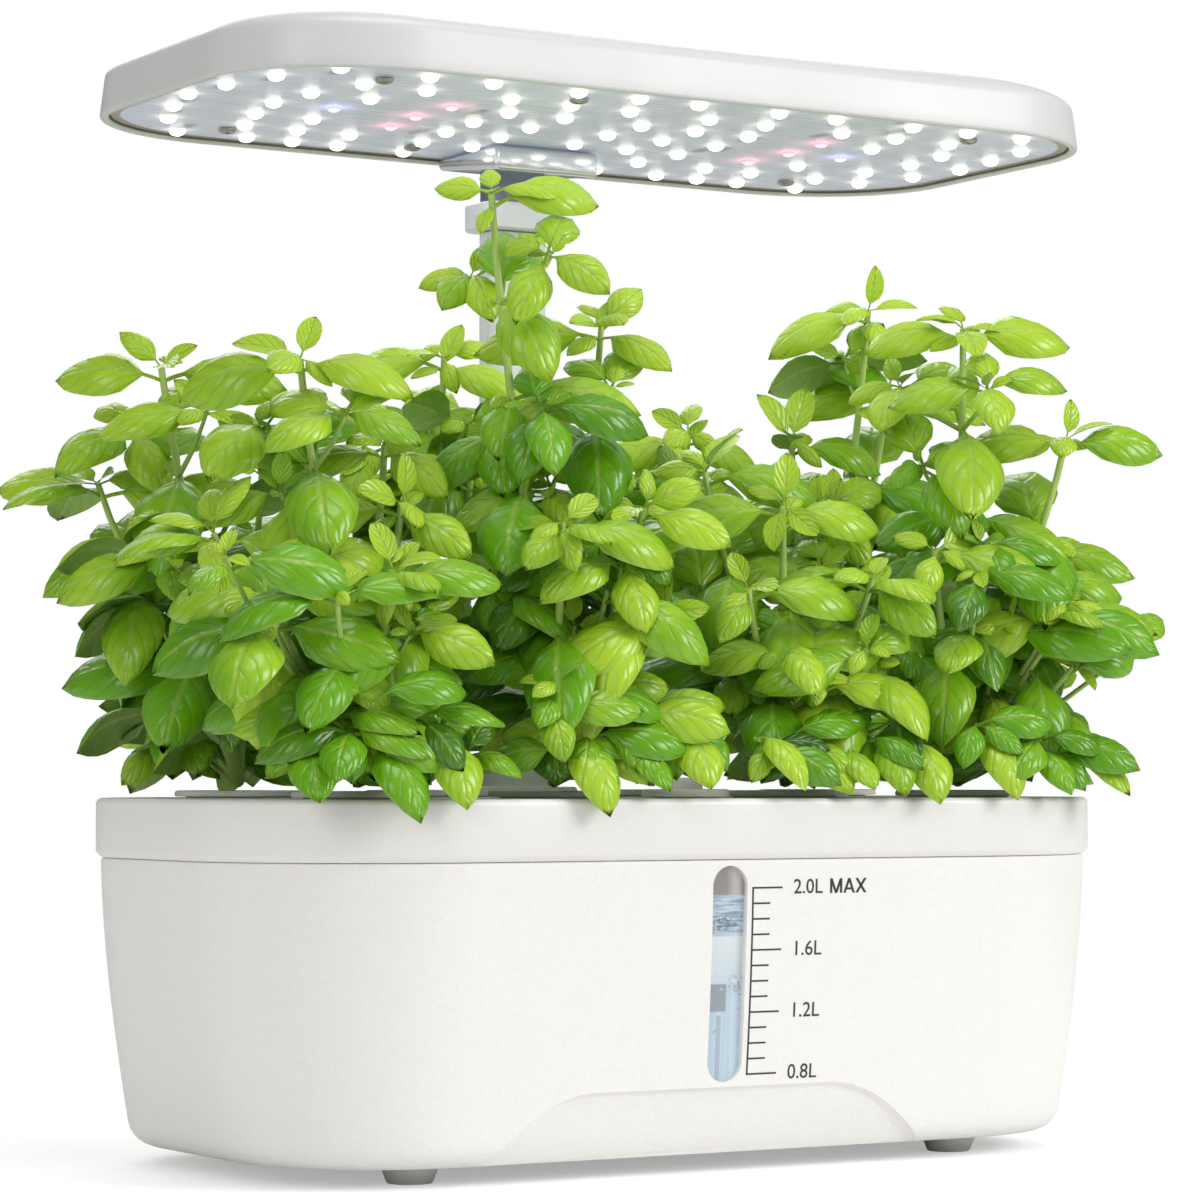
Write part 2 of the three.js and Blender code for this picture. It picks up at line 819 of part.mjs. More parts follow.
function basil(place, index) {
  const high = basketRimTop - spongeBelowRim;
  const base = high - spongePocketDepth + seatGap;
  const height = tallestPlant * plantHeightShares[index];
  const outer = Math.abs(place.x) > (basketColumnInnerX + basketColumnOuterX) / 2;
  const leanX = Math.sign(place.x) * (outer ? stemLeanX : 0);
  const leanY = Math.sign(place.y) * (place.y < 0 || outer ? stemLeanY : 0);
  const stemAt = (share) =>
    new THREE.Vector3(
      place.x + leanX * share * share,
      place.y + leanY * share * share,
      base + (lidTop + height - base) * share,
    );
  const rings = [];
  for (let i = 0; i <= stemSteps; i++) {
    const share = i / stemSteps;
    const centre = stemAt(share);
    const radius = stemBaseRadius + (stemTopRadius - stemBaseRadius) * share;
    const ring = [];
    for (let j = 0; j < stemSides; j++) {
      const angle = (j / stemSides) * 2 * Math.PI;
      const offset = new THREE.Vector3(Math.cos(angle), Math.sin(angle), 0);
      ring.push(centre.clone().addScaledVector(offset, radius));
    }
    rings.push(ring);
  }
  const pieces = [skin(rings, stemAt(0), stemAt(1))];
  const firstShare = (lidTop + firstLeafRise - base) / (lidTop + height - base);
  for (let pair = 0; pair < leafPairs; pair++) {
    const share = firstShare + ((topPairShare - firstShare) * pair) / (leafPairs - 1);
    const stem = stemAt(share);
    const young = 1 - youngLeafShare * Math.max(share - 1 / 2, 0);
    const turn = leafTurnShare * Math.PI * (2 * spread(index + pair * leafPairs) - 1);
    for (const side of [0, 1]) {
      const widestX = outer && pair === Math.floor(leafPairs / 2);
      const widestY = pair === Math.floor(leafPairs / 3);
      const crossed = Math.PI / 4 + (pair % 2) * (Math.PI / 2) + turn;
      const square = widestX ? 0 : Math.PI / 2;
      const angle = (widestX || widestY ? square : crossed) + side * Math.PI;
      const heading = new THREE.Vector3(Math.cos(angle), Math.sin(angle), 0);
      const free = freeReach(place, stem, heading);
      const outward = widestX ? heading.x * place.x > 0 : heading.y * place.y > 0;
      const spreadPlace = index * leafPairs + 2 * pair + side;
      const wanted = leafLength * young * (1 - leafSpreadShare * spread(spreadPlace));
      const reach = (widestX || widestY) && outward ? free : Math.min(wanted, free);
      pieces.push(leaf(stem, heading, reach));
    }
  }
  return joined(pieces);
}

// Mast

const socketFloorTop = lidUnderside - socketSpigotDepth + socketFloor;

function mastSocket() {
  const base = lidTop + seatGap;
  const flangeTop = base + socketFlangeThickness;
  const sleeveTop = flangeTop + socketSleeveHeight;
  const flange = loft(
    {
      length: socketFlangeWidth,
      depth: socketFlangeDepth,
      cornerX: socketCorner,
      cornerY: socketCorner,
      steps: mastCornerSteps,
    },
    [
      { z: base, insetX: 0 },
      { z: flangeTop, insetX: 0 },
    ],
    0,
    mastY,
  );
  const sleeve = mastPrism(-(socketWall + seatGap), flangeTop - socketFlangeThickness / 2, sleeveTop);
  const spigot = mastPrism(-socketWall, lidUnderside - socketSpigotDepth, flangeTop);
  const housingBack = mastY + mastDepth / 2 + seatGap + inletHousingLength;
  const housing = box(
    -inletHousingWidth / 2,
    inletHousingWidth / 2,
    mastY + mastDepth / 2 + seatGap + socketWall / 2,
    housingBack,
    base,
    base + inletHousingHeight,
  );
  const inletZ = base + inletHousingHeight / 2;
  return flange
    .add(sleeve)
    .add(spigot)
    .add(housing)
    .subtract(mastPrism(-seatGap, socketFloorTop, sleeveTop + cutOverrun))
    .subtract(
      cylinderAlongY(
        inletRadius + seatGap,
        housingBack - inletDepth,
        housingBack + cutOverrun,
        0,
        inletZ,
      ),
    );
}

function dcInlet() {
  const inletZ = lidTop + seatGap + inletHousingHeight / 2;
  const back = mastY + mastDepth / 2 + seatGap + inletHousingLength;
  const front = back - inletDepth + seatGap;
  const barrel = cylinderAlongY(inletRadius, front, back + inletLip, 0, inletZ);
  const bore = cylinderAlongY(inletBore, front + inletBack, back + cutOverrun, 0, inletZ);
  const pin = cylinderAlongY(inletPinRadius, front + inletBack / 2, back, 0, inletZ, stemSides);
  return barrel.subtract(bore).add(pin);
}

function mastLower() {
  const low = socketFloorTop + seatGap;
  return mastPrism(0, low, mastTopHeight).subtract(
    mastPrism(mastWall, low - cutOverrun, mastTopHeight + cutOverrun),
  );
}

const innerInset = mastWall + slideGap;
const innerTop = hoodFrontZ + innerIntoHood;

function mastUpper() {
  const low = collarBottom - innerInsertion;
  return mastPrism(innerInset, low, innerTop).subtract(
    mastPrism(innerInset + innerWall, low - cutOverrun, innerTop + cutOverrun),
  );
}

// The hood, neck and collar that hold the inner tube under the lamp.
function lampHead() {
  const hoodTop = boardBottom - seatGap;
  const outline = [
    new THREE.Vector2(hoodFrontY, hoodFrontZ),
    new THREE.Vector2(hoodBackY, hoodBackZ),
    new THREE.Vector2(hoodBackY, hoodTop),
    new THREE.Vector2(hoodFrontY, hoodTop),
  ];
  const hood = prismAlongX(outline, -hoodWidth / 2, hoodWidth / 2);
  const block = (width, depth) => ({
    length: width,
    depth,
    cornerX: mastCorner,
    cornerY: mastCorner,
    steps: mastCornerSteps,
  });
  const collar = loft(
    block(collarWidth, collarDepth),
    [
      { z: collarBottom, insetX: socketWall / 4 },
      { z: collarBottom + socketWall / 4, insetX: 0 },
      { z: collarTop, insetX: 0 },
    ],
    0,
    mastY,
  );
  const neck = loft(
    block(neckWidth, neckDepth),
    [
      { z: collarTop - collarHeight / 4, insetX: 0 },
      { z: (hoodBackZ + hoodTop) / 2, insetX: 0 },
    ],
    0,
    mastY,
  );
  return hood
    .add(collar)
    .add(neck)
    .subtract(mastPrism(innerInset - seatGap, collarBottom - cutOverrun, innerTop + seatGap))
    .subtract(cylinder(wireHoleRadius, collarTop, hoodTop + cutOverrun, 0, mastY));
}

// Lamp

const shadeOutline = {
  length: shadeLength,
  depth: shadeDepth,
  cornerX: shadeCornerX,
  cornerY: shadeCornerY,
};

const screwPlaces = [
  { x: -screwCornerX, y: -screwRowY },
  { x: -screwMiddleX, y: -screwRowY },
  { x: screwCornerX, y: -screwRowY },
  { x: -screwCornerX, y: screwRowY },
  { x: -screwMiddleX, y: screwRowY },
  { x: screwCornerX, y: screwRowY },
].map((place) => ({ x: place.x, y: place.y + shadeOffsetY }));

const driverTop = shadeCeiling - driverRise;
const driverPosts = [-1, 1].flatMap((signX) =>
  [-1, 1].map((signY) => ({
    x: driverX + signX * (driverLength / 2 - driverPostInset),
    y: shadeOffsetY + signY * (driverDepth / 2 - driverPostInset),
  })),
);

function lampShade() {
  const levels = [
    { z: shadeBottomZ, insetX: 0 },
    { z: shadeSkirtTop, insetX: shadeDraft },
  ];
  for (let i = 1; i <= shadeTopSteps; i++) {
    const angle = (i / shadeTopSteps) * (Math.PI / 2);
    levels.push({
      z: shadeSkirtTop + shadeTopRadius * Math.sin(angle),
      insetX: shadeDraft + shadeTopRadius * (1 - Math.cos(angle)),
    });
  }
  const hollow = [
    { z: shadeBottomZ - cutOverrun, insetX: shadeWall },
    { z: boardTop + seatGap, insetX: shadeWall },
    { z: shadeSkirtTop, insetX: shadeWall + shadeDraft },
    { z: shadeCeiling, insetX: shadeWall + shadeDraft + (shadeTopRadius * 3) / 4 },
  ];
  let made = loft(shadeOutline, levels, 0, shadeOffsetY);
  made = made.subtract(loft(shadeOutline, hollow, 0, shadeOffsetY));
  const ceiling = shadeCeiling + shadeTopWall / 2;
  for (const place of screwPlaces) {
    made = made.add(cylinder(bossRadius, boardTop + seatGap, ceiling, place.x, place.y, smallSides));
  }
  for (const place of driverPosts) {
    made = made.add(
      cylinder(driverPostRadius, driverTop + seatGap, ceiling, place.x, place.y, smallSides),
    );
  }
  const pilotTop = boardBottom + screwShankLength + seatGap;
  for (const place of screwPlaces) {
    const radius = screwShankRadius + seatGap;
    made = made.subtract(
      cylinder(radius, boardTop - cutOverrun, pilotTop, place.x, place.y, smallSides),
    );
  }
  const buttonHole = buttonRadius + seatGap;
  return made.subtract(
    cylinder(buttonHole, shadeCeiling - cutOverrun, shadeTop + cutOverrun, buttonX, shadeOffsetY, roundSides),
  );
}

const headClearX = hoodWidth / 2 + ledLength;
const headClearY = hoodFrontY - ledWidth;

function ledPlaces() {
  const halfBoard = shadeLength / 2;
  return ledRows.flatMap((row, index) => {
    const y = shadeOffsetY + (index - (ledRows.length - 1) / 2) * ledRowPitch;
    const span = row.halfSpanShare * halfBoard;
    const places = [];
    for (let i = 0; i < row.count; i++) {
      places.push({ x: -span + (2 * span * i) / (row.count - 1), y });
    }
    const besideHead = (p) => Math.abs(p.x) > headClearX || p.y < headClearY;
    const besideScrew = (p) =>
      screwPlaces.every((s) => Math.hypot(s.x - p.x, s.y - p.y) > screwHeadRadius + ledLength);
    return places.filter((p) => besideHead(p) && besideScrew(p));
  });
}

function ledBoard() {
  const inset = shadeWall + slideGap;
  let board = loft(
    shadeOutline,
    [
      { z: boardBottom, insetX: inset },
      { z: boardTop, insetX: inset },
    ],
    0,
    shadeOffsetY,
  );
  for (const place of ledPlaces()) {
    const halfX = ledLength / 2;
    const halfY = ledWidth / 2;
    board = board.add(
      box(
        place.x - halfX,
        place.x + halfX,
        place.y - halfY,
        place.y + halfY,
        boardBottom - ledHeight,
        boardBottom + boardThickness / 2,
      ),
    );
  }
  for (const place of screwPlaces) {
    const radius = screwShankRadius + seatGap;
    board = board.subtract(
      cylinder(radius, boardBottom - cutOverrun, boardTop + cutOverrun, place.x, place.y, smallSides),
    );
  }
  return board.subtract(
    cylinder(wireHoleRadius, boardBottom - cutOverrun, boardTop + cutOverrun, 0, mastY),
  );
}

function boardScrew(place) {
  const seat = boardBottom - seatGap;
  const low = seat - screwHeadHeight;
  const high = boardBottom + screwShankLength;
  const screw = turned(
    [
      [0, low],
      [screwHeadRadius, low],
      [screwHeadRadius, seat],
      [screwShankRadius, seat],
      [screwShankRadius, high],
      [0, high],
    ],
    place.x,
    place.y,
    smallSides,
  );
  const half = screwSlotLength / 2;
  const slot = screwSlotWidth / 2;
  const slotTop = low + screwSlotDepth;
  return screw
    .subtract(
      box(place.x - half, place.x + half, place.y - slot, place.y + slot, low - cutOverrun, slotTop),
    )
    .subtract(
      box(place.x - slot, place.x + slot, place.y - half, place.y + half, low - cutOverrun, slotTop),
    );
}

function driverBoard() {
  const halfX = driverLength / 2;
  const halfY = driverDepth / 2;
  const low = driverTop - driverThickness;
  let made = box(
    driverX - halfX,
    driverX + halfX,
    shadeOffsetY - halfY,
    shadeOffsetY + halfY,
    low,
    driverTop,
  );
  for (const side of [-1, 1]) {
    const x = driverX + (side * driverLength) / 4;
    made = made.add(
      box(
        x - driverPartLength / 2,
        x + driverPartLength / 2,
        shadeOffsetY - driverPartDepth / 2,
        shadeOffsetY + driverPartDepth / 2,
        low - driverPartHeight,
        low + driverThickness / 2,
      ),
    );
  }
  return made;
}

// Push button in the shade's top, and the switch under it

const buttonFlangeTop = shadeCeiling - seatGap;

function modeButton() {
  const flangeLow = buttonFlangeTop - buttonFlangeThickness;
  return turned(
    [
      [0, flangeLow],
      [buttonFlangeRadius, flangeLow],
      [buttonFlangeRadius, buttonFlangeTop],
      [buttonRadius, buttonFlangeTop],
      [buttonRadius, shadeTop + buttonProud],
      [0, shadeTop + buttonProud],
    ],
    buttonX,
    shadeOffsetY,
  );
}

// A tall switch that stands on the board, its plunger just clear of the pressed button.
function modeSwitch() {
  const plungerTop = buttonFlangeTop - buttonFlangeThickness - buttonTravel - seatGap;
  const bodyTop = plungerTop - switchPlungerHeight;
  const half = switchSize / 2;
  const body = box(
    buttonX - half,
    buttonX + half,
    shadeOffsetY - half,
    shadeOffsetY + half,
    boardTop + seatGap,
    bodyTop,
  );
  const plungerLow = bodyTop - switchPlungerHeight;
  return body.add(cylinder(switchPlunger, plungerLow, plungerTop, buttonX, shadeOffsetY));
}

// Pump

const pumpLow = tankBase + tankFloor + seatGap + cupHeight;
const pumpHigh = pumpLow + pumpHeight;
const pumpMiddle = (pumpLow + pumpHigh) / 2;
const pumpRight = pumpX + pumpLength / 2;
const cupPlaces = [-1, 1].flatMap((signX) =>
  [-1, 1].map((signY) => ({
    x: pumpX + signX * (pumpLength / 2 - cupRadius - cupLip),
    y: pumpY + signY * (pumpDepth / 2 - cupRadius - cupLip),
  })),
);

const pumpOutline = {
  length: pumpLength,
  depth: pumpDepth,
  cornerX: pumpCorner,
  cornerY: pumpCorner,
  steps: mastCornerSteps,
};

function pumpBody() {
  let made = loft(
    pumpOutline,
    [
      { z: pumpLow, insetX: 0 },
      { z: pumpHigh, insetX: 0 },
    ],
    pumpX,
    pumpY,
  );
  const wallX = pumpRight - pumpCorner;
  made = made.subtract(
    cylinderAlongX(chamberRadius, pumpRight - chamberDepth, pumpRight + cutOverrun, pumpY, pumpMiddle),
  );
  const bearingLow = pumpRight - chamberDepth - rotorShaftLength / 2 - seatGap;
  made = made.subtract(
    cylinderAlongX(rotorShaftRadius + bearingGap, bearingLow, wallX, pumpY, pumpMiddle),
  );
  const nozzleX = pumpRight - chamberDepth / 2;
  made = made.subtract(
    cylinder(nozzleBore, pumpMiddle, pumpHigh + cutOverrun, nozzleX - nozzleBore / 2, pumpY),
  );
  made = made.subtract(
    cylinder(
      nozzleBore + cupLip + seatGap,
      pumpHigh - nozzleSeat,
      pumpHigh + cutOverrun,
      nozzleX - nozzleBore / 2,
      pumpY,
    ),
  );
  for (const place of cupPlaces) {
    const radius = cupNeckRadius + seatGap;
    made = made.subtract(
      cylinder(radius, pumpLow - cutOverrun, pumpLow + cupPegHeight + seatGap, place.x, place.y),
    );
  }
  return made;
}

function pumpCover() {
  const low = pumpRight + seatGap;
  const high = low + pumpCoverThickness;
  const half = pumpDepth / 2 - pumpCorner / 2;
  let made = box(low, high, pumpY - half, pumpY + half, pumpLow, pumpHigh);
  const hole = cylinderAlongX(inletHoleRadius, low - cutOverrun, high + cutOverrun, pumpY, pumpMiddle);
  const barHalf = grilleBar / 2;
  const bars = [-1, 1].map((side) => {
    const z = pumpMiddle + (side * inletHoleRadius) / 3;
    return box(low - cutOverrun, high + cutOverrun, pumpY - half, pumpY + half, z - barHalf, z + barHalf);
  });
  made = made.subtract(bars.reduce((left, bar) => left.subtract(bar), hole));
  return made;
}

function pumpRotor() {
  const low = pumpRight - chamberDepth + (chamberDepth - rotorThickness) / 2;
  const high = low + rotorThickness;
  const hub = cylinderAlongX(rotorHubRadius, low, high, pumpY, pumpMiddle);
  const shaftLow = pumpRight - chamberDepth - rotorShaftLength / 2;
  const shaft = cylinderAlongX(rotorShaftRadius, shaftLow, low + rotorThickness / 2, pumpY, pumpMiddle);
  let made = hub.add(shaft);
  for (let i = 0; i < rotorBlades; i++) {
    const blade = new THREE.BoxGeometry(rotorThickness, rotorBladeThickness, rotorRadius);
    blade.translate(0, 0, rotorRadius / 2);
    blade.rotateX((i / rotorBlades) * 2 * Math.PI);
    blade.translate((low + high) / 2, pumpY, pumpMiddle);
    made = made.add(solidOf(blade));
  }
  return made;
}

function pumpNozzle() {
  const x = pumpRight - chamberDepth / 2 - nozzleBore / 2;
  const low = pumpHigh - nozzleSeat + seatGap;
  const seat = pumpHigh + seatGap;
  const high = seat + nozzleHeight;
  return turned(
    [
      [nozzleBore, low],
      [nozzleBore + cupLip, low],
      [nozzleBore + cupLip, seat],
      [nozzleRadius, seat],
      [nozzleRadius, seat + nozzleHeight / 4],
      [nozzleBore + cupLip, seat + nozzleHeight / 3],
      [nozzleBore + cupLip, high],
      [nozzleBore, high],
      [nozzleBore, low],
    ],
    x,
    pumpY,
    boreSides,
  );
}

function suctionCup(place) {
  const low = tankBase + tankFloor + seatGap;
  const top = pumpLow - seatGap;
  return turned(
    [
      [0, low + cupLip],
      [cupRadius - cupLip, low],
      [cupRadius, low],
      [cupNeckRadius + cupLip, top],
      [cupNeckRadius, top],
      [cupNeckRadius, top + cupPegHeight],
      [0, top + cupPegHeight],
    ],
    place.x,
    place.y,
    boreSides,
  );
}

// Materials

const finish = (color, roughness, metalness = 0, opacity = 1) =>
  new THREE.MeshStandardMaterial({
    color,
    roughness,
    metalness,
    opacity,
    transparent: opacity < 1,
  });

const tankWhite = finish(0xecebe6, 0.55);
const lidWhite = finish(0xf2f1ee, 0.4);
const shadeWhite = finish(0xefefed, 0.42);
const mastWhite = finish(0xf0f0f4, 0.32);
const headSilver = finish(0xd9dadd, 0.25, 0.4);
const boardAluminium = finish(0xb9c0cc, 0.3, 0.9);
const screwSteel = finish(0x6e7176, 0.35, 0.9);
const jackSteel = finish(0xb4b7bb, 0.3, 0.9);
const driverGreen = finish(0x2f6b45, 0.5);
const basketWhite = finish(0xe9e9e7, 0.5);
const spongeBrown = finish(0x4a3b2c, 0.95);
const basilGreen = finish(0x6fae2a, 0.45);
const rubberGrey = finish(0xa9a7a3, 0.75);
const rubberBlack = finish(0x2b2b2d, 0.8);
const clearBlue = finish(0xb9d2e6, 0.1, 0, 0.45);
const pumpGrey = finish(0x8d9096, 0.5);
const rotorWhite = finish(0xd6d8da, 0.4);
const cupClear = finish(0xdfe3e4, 0.3, 0, 0.6);
const buttonWhite = finish(0xe4e4e6, 0.35);

// The assembly

const garden = new THREE.Group();

function place(name, solid, material) {
  const mesh = new THREE.Mesh(geometryOf(solid), material);
  mesh.name = name;
  garden.add(mesh);
}

place("tank_shell", tankShell(), tankWhite);
place("sight_window", sightWindow(), clearBlue);
place("window_gasket", windowGasket(), rubberBlack);
footPlaces.forEach((spot) => place(spot.name, foot(spot), rubberGrey));
place("pump_body", pumpBody(), pumpGrey);
place("pump_cover", pumpCover(), pumpGrey);
place("pump_rotor", pumpRotor(), rotorWhite);
place("pump_nozzle", pumpNozzle(), rotorWhite);
cupPlaces.forEach((spot, i) => place("suction_cup_" + (i + 1), suctionCup(spot), cupClear));
place("lid", lid(), lidWhite);
place("fill_cap", fillCap(), lidWhite);
basketPlaces.forEach((spot, i) => {
  place("basket_" + (i + 1), basket(spot), basketWhite);
  place("sponge_" + (i + 1), sponge(spot), spongeBrown);
  place("basil_" + (i + 1), basil(spot, i), basilGreen);
});
place("mast_socket", mastSocket(), lidWhite);
place("dc_inlet", dcInlet(), jackSteel);
place("mast_lower", mastLower(), mastWhite);
place("mast_upper", mastUpper(), mastWhite);
place("lamp_head", lampHead(), headSilver);
place("lamp_shade", lampShade(), shadeWhite);
place("led_board", ledBoard(), boardAluminium);
screwPlaces.forEach((spot, i) => place("board_screw_" + (i + 1), boardScrew(spot), screwSteel));
place("driver_board", driverBoard(), driverGreen);
place("mode_button", modeButton(), buttonWhite);
place("mode_switch", modeSwitch(), rubberBlack);

export default garden;
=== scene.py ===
# %% [markdown]
# # A countertop hydroponic garden
#
# The garden has a white water tank, a lid that holds eight pods of basil, and a grow lamp on a
# mast. This lesson dresses its construction model in Blender: smooth shells in place of faceted
# ones, a finish for each material, and some hundreds of basil leaves.
#
# The construction model comes first. Every piece made here sits where that model says, in metres,
# and rides on one of its bodies, so the whole thing still moves as it should.

# %% Load the construction model
import bpy
import bmesh
import json
import math
import numpy as np
from mathutils import Euler, Matrix, Vector

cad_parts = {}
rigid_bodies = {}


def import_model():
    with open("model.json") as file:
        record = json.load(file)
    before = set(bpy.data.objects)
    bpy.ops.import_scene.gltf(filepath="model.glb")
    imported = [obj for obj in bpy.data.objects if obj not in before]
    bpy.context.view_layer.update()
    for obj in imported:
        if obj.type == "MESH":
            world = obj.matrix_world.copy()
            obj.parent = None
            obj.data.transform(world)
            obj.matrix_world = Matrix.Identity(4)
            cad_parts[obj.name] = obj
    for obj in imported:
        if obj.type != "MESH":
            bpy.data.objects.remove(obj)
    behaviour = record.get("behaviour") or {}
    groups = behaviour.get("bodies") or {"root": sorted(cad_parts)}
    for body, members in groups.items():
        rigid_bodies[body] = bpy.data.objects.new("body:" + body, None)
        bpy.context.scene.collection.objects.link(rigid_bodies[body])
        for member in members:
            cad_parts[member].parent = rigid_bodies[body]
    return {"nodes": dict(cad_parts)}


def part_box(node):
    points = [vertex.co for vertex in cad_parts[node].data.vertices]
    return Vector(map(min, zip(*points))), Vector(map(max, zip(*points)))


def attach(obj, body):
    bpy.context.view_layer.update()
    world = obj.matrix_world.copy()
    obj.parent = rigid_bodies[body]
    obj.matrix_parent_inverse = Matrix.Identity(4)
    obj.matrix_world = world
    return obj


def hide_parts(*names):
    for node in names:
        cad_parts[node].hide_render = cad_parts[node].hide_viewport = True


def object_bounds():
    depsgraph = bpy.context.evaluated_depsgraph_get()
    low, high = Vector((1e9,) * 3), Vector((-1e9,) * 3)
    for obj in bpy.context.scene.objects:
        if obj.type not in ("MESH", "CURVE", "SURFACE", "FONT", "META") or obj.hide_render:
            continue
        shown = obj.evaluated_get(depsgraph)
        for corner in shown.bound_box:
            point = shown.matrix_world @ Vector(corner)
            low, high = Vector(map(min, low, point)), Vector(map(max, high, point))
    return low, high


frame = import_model()
cad_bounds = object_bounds()
MM = 0.001

# %% [markdown]
# ## Writing shader maths as sums
#
# A finish is a tree of nodes, and much of it is plain arithmetic. One small class wraps a node's
# output, so that adding, multiplying or comparing two of them adds the Math node that does it.
# A second class builds one material, and has one method that adds any node at all.

# %% A signal that can be added and multiplied
class Signal:
    """The output of a shader node. Arithmetic on it adds Math nodes."""

    def __init__(self, finish, socket):
        self.finish = finish
        self.socket = socket

    def maths(self, operation, *values):
        node = self.finish.add("Math", {"operation": operation}, dict(enumerate(values)))
        return Signal(self.finish, node.outputs[0])

    def __add__(self, other):
        return self.maths("ADD", self, other)

    def __sub__(self, other):
        return self.maths("SUBTRACT", self, other)

    def __rsub__(self, other):
        return self.maths("SUBTRACT", other, self)

    def __mul__(self, other):
        return self.maths("MULTIPLY", self, other)

    def __pow__(self, other):
        return self.maths("POWER", self, other)

    def __lt__(self, other):
        return self.maths("LESS_THAN", self, other)

    __radd__ = __add__
    __rmul__ = __mul__

    def fraction(self):
        return self.maths("FRACT", self)

    def size(self):
        return self.maths("ABSOLUTE", self)

    def clipped(self):
        return self.maths("MINIMUM", self.maths("MAXIMUM", self, 0.0), 1.0)


# %% A finish under construction
class Finish:
    """A material, its node tree and the Principled shader that most of it feeds."""

    def __init__(self, name, **constants):
        self.material = bpy.data.materials.new(name)
        self.material.use_nodes = True
        self.tree = self.material.node_tree
        self.surface = self.tree.nodes["Principled BSDF"]
        self.output = self.tree.nodes["Material Output"]
        for key, value in constants.items():
            self.feed(self.surface.inputs[key.replace("_", " ").title().replace("Ior", "IOR")], value)

    def feed(self, socket, value):
        if isinstance(value, Signal):
            self.tree.links.new(value.socket, socket)
        elif isinstance(value, tuple) and len(value) == 3 and socket.type == "RGBA":
            socket.default_value = (*value, 1.0)
        else:
            socket.default_value = value

    def add(self, kind, settings=None, inputs=None):
        node = self.tree.nodes.new("ShaderNode" + kind)
        for key, value in (settings or {}).items():
            setattr(node, key, value)
        for key, value in (inputs or {}).items():
            self.feed(node.inputs[key], value)
        return node

    def output_of(self, kind, output, settings=None, inputs=None):
        return Signal(self, self.add(kind, settings, inputs).outputs[output])

    def place(self):
        return self.output_of("TexCoord", "Object")

    def stretched(self, scale, vector=None):
        place = vector or self.place()
        return self.output_of("Mapping", "Vector", None, {"Vector": place, "Scale": scale})

    def noise(self, scale, detail=2.0, roughness=0.5, vector=None):
        values = {"Vector": vector or self.place(), "Scale": scale, "Detail": detail}
        return self.output_of("TexNoise", "Fac", None, {**values, "Roughness": roughness})

    def attribute(self, name, output="Fac"):
        return self.output_of("Attribute", output, {"attribute_name": name})

    def mixed(self, share, low, high):
        node = self.add("Mix", {"data_type": "RGBA"}, {0: share, 6: low, 7: high})
        return Signal(self, node.outputs[2])

    def spread(self, value, low, high, to_low=0.0, to_high=1.0):
        values = {"Value": value, 1: low, 2: high, 3: to_low, 4: to_high}
        return self.output_of("MapRange", 0, {"interpolation_type": "SMOOTHSTEP"}, values)

    def paint(self, **links):
        for key, value in links.items():
            self.feed(self.surface.inputs[key.replace("_", " ")], value)

    def tones(self, share, low, high):
        """A base colour that runs from one tone to another."""
        self.paint(Base_Color=self.mixed(share, low, high))

    def blended(self, shader, share):
        """Mixes another shader into the surface."""
        mix = self.add("MixShader", None, {0: share})
        self.tree.links.new(self.surface.outputs[0], mix.inputs[1])
        self.tree.links.new(shader.outputs[0], mix.inputs[2])
        self.tree.links.new(mix.outputs[0], self.output.inputs["Surface"])

    def bump(self, height, distance, strength=1.0):
        values = {"Height": height, "Distance": distance, "Strength": strength}
        self.paint(Normal=self.output_of("Bump", "Normal", None, values))


def srgb(red, green, blue):
    """A colour as it looks on a screen, from 0 to 255, as the linear values that nodes take."""
    linear = []
    for value in (red, green, blue):
        share = value / 255
        linear.append(share / 12.92 if share < 0.04045 else ((share + 0.055) / 1.055) ** 2.4)
    return tuple(linear)


# %% [markdown]
# ## Making shells from rings
#
# Tank, lid and lamp shade are one kind of shape: a rounded rectangle that changes a little with
# height. A loft through rings makes each of them in one go. Rings that run up the outside, over
# the rim and down the inside leave a wall of even thickness and one closed surface.

# %% Rings and lofts
CORNER_STEPS = 20


def rounded_ring(half, corner, z, centre=(0, 0), steps=CORNER_STEPS):
    """Points of a rounded rectangle with elliptical corners, anticlockwise seen from above."""
    points = []
    for quarter, (sign_x, sign_y) in enumerate(((1, 1), (-1, 1), (-1, -1), (1, -1))):
        for step in range(steps + 1):
            angle = (quarter + step / steps) * math.pi / 2
            x = sign_x * (half[0] - corner[0]) + corner[0] * math.cos(angle)
            y = sign_y * (half[1] - corner[1]) + corner[1] * math.sin(angle)
            points.append((x + centre[0], y + centre[1], z))
    return np.array(points)


def drawn_in(half, corner, inset, z, centre=(0, 0), steps=10):
    """A rounded ring that lies inside another by an inset."""
    half, corner = [(pair[0] - inset, pair[1] - inset) for pair in (half, corner)]
    return rounded_ring(half, corner, z, centre, steps)


def quarter_turns(steps):
    """Even angles from nothing to a quarter turn, both ends included."""
    return [i / steps * math.pi / 2 for i in range(steps + 1)]


def loft(name, rings, closed=False):
    """A mesh through rings of equal count, with a flat cap at each end unless it closes on itself."""
    count = len(rings[0])
    vertices = np.concatenate(rings)
    faces = []
    spans = len(rings) if closed else len(rings) - 1
    for ring in range(spans):
        low = ring * count
        high = ((ring + 1) % len(rings)) * count
        for i in range(count):
            j = (i + 1) % count
            faces.append((low + i, low + j, high + j, high + i))
    if not closed:
        faces.append(tuple(range(count))[::-1])
        faces.append(tuple(range((len(rings) - 1) * count, len(rings) * count)))
    mesh = bpy.data.meshes.new(name)
    mesh.from_pydata(vertices.tolist(), [], faces)
    return outward(mesh)


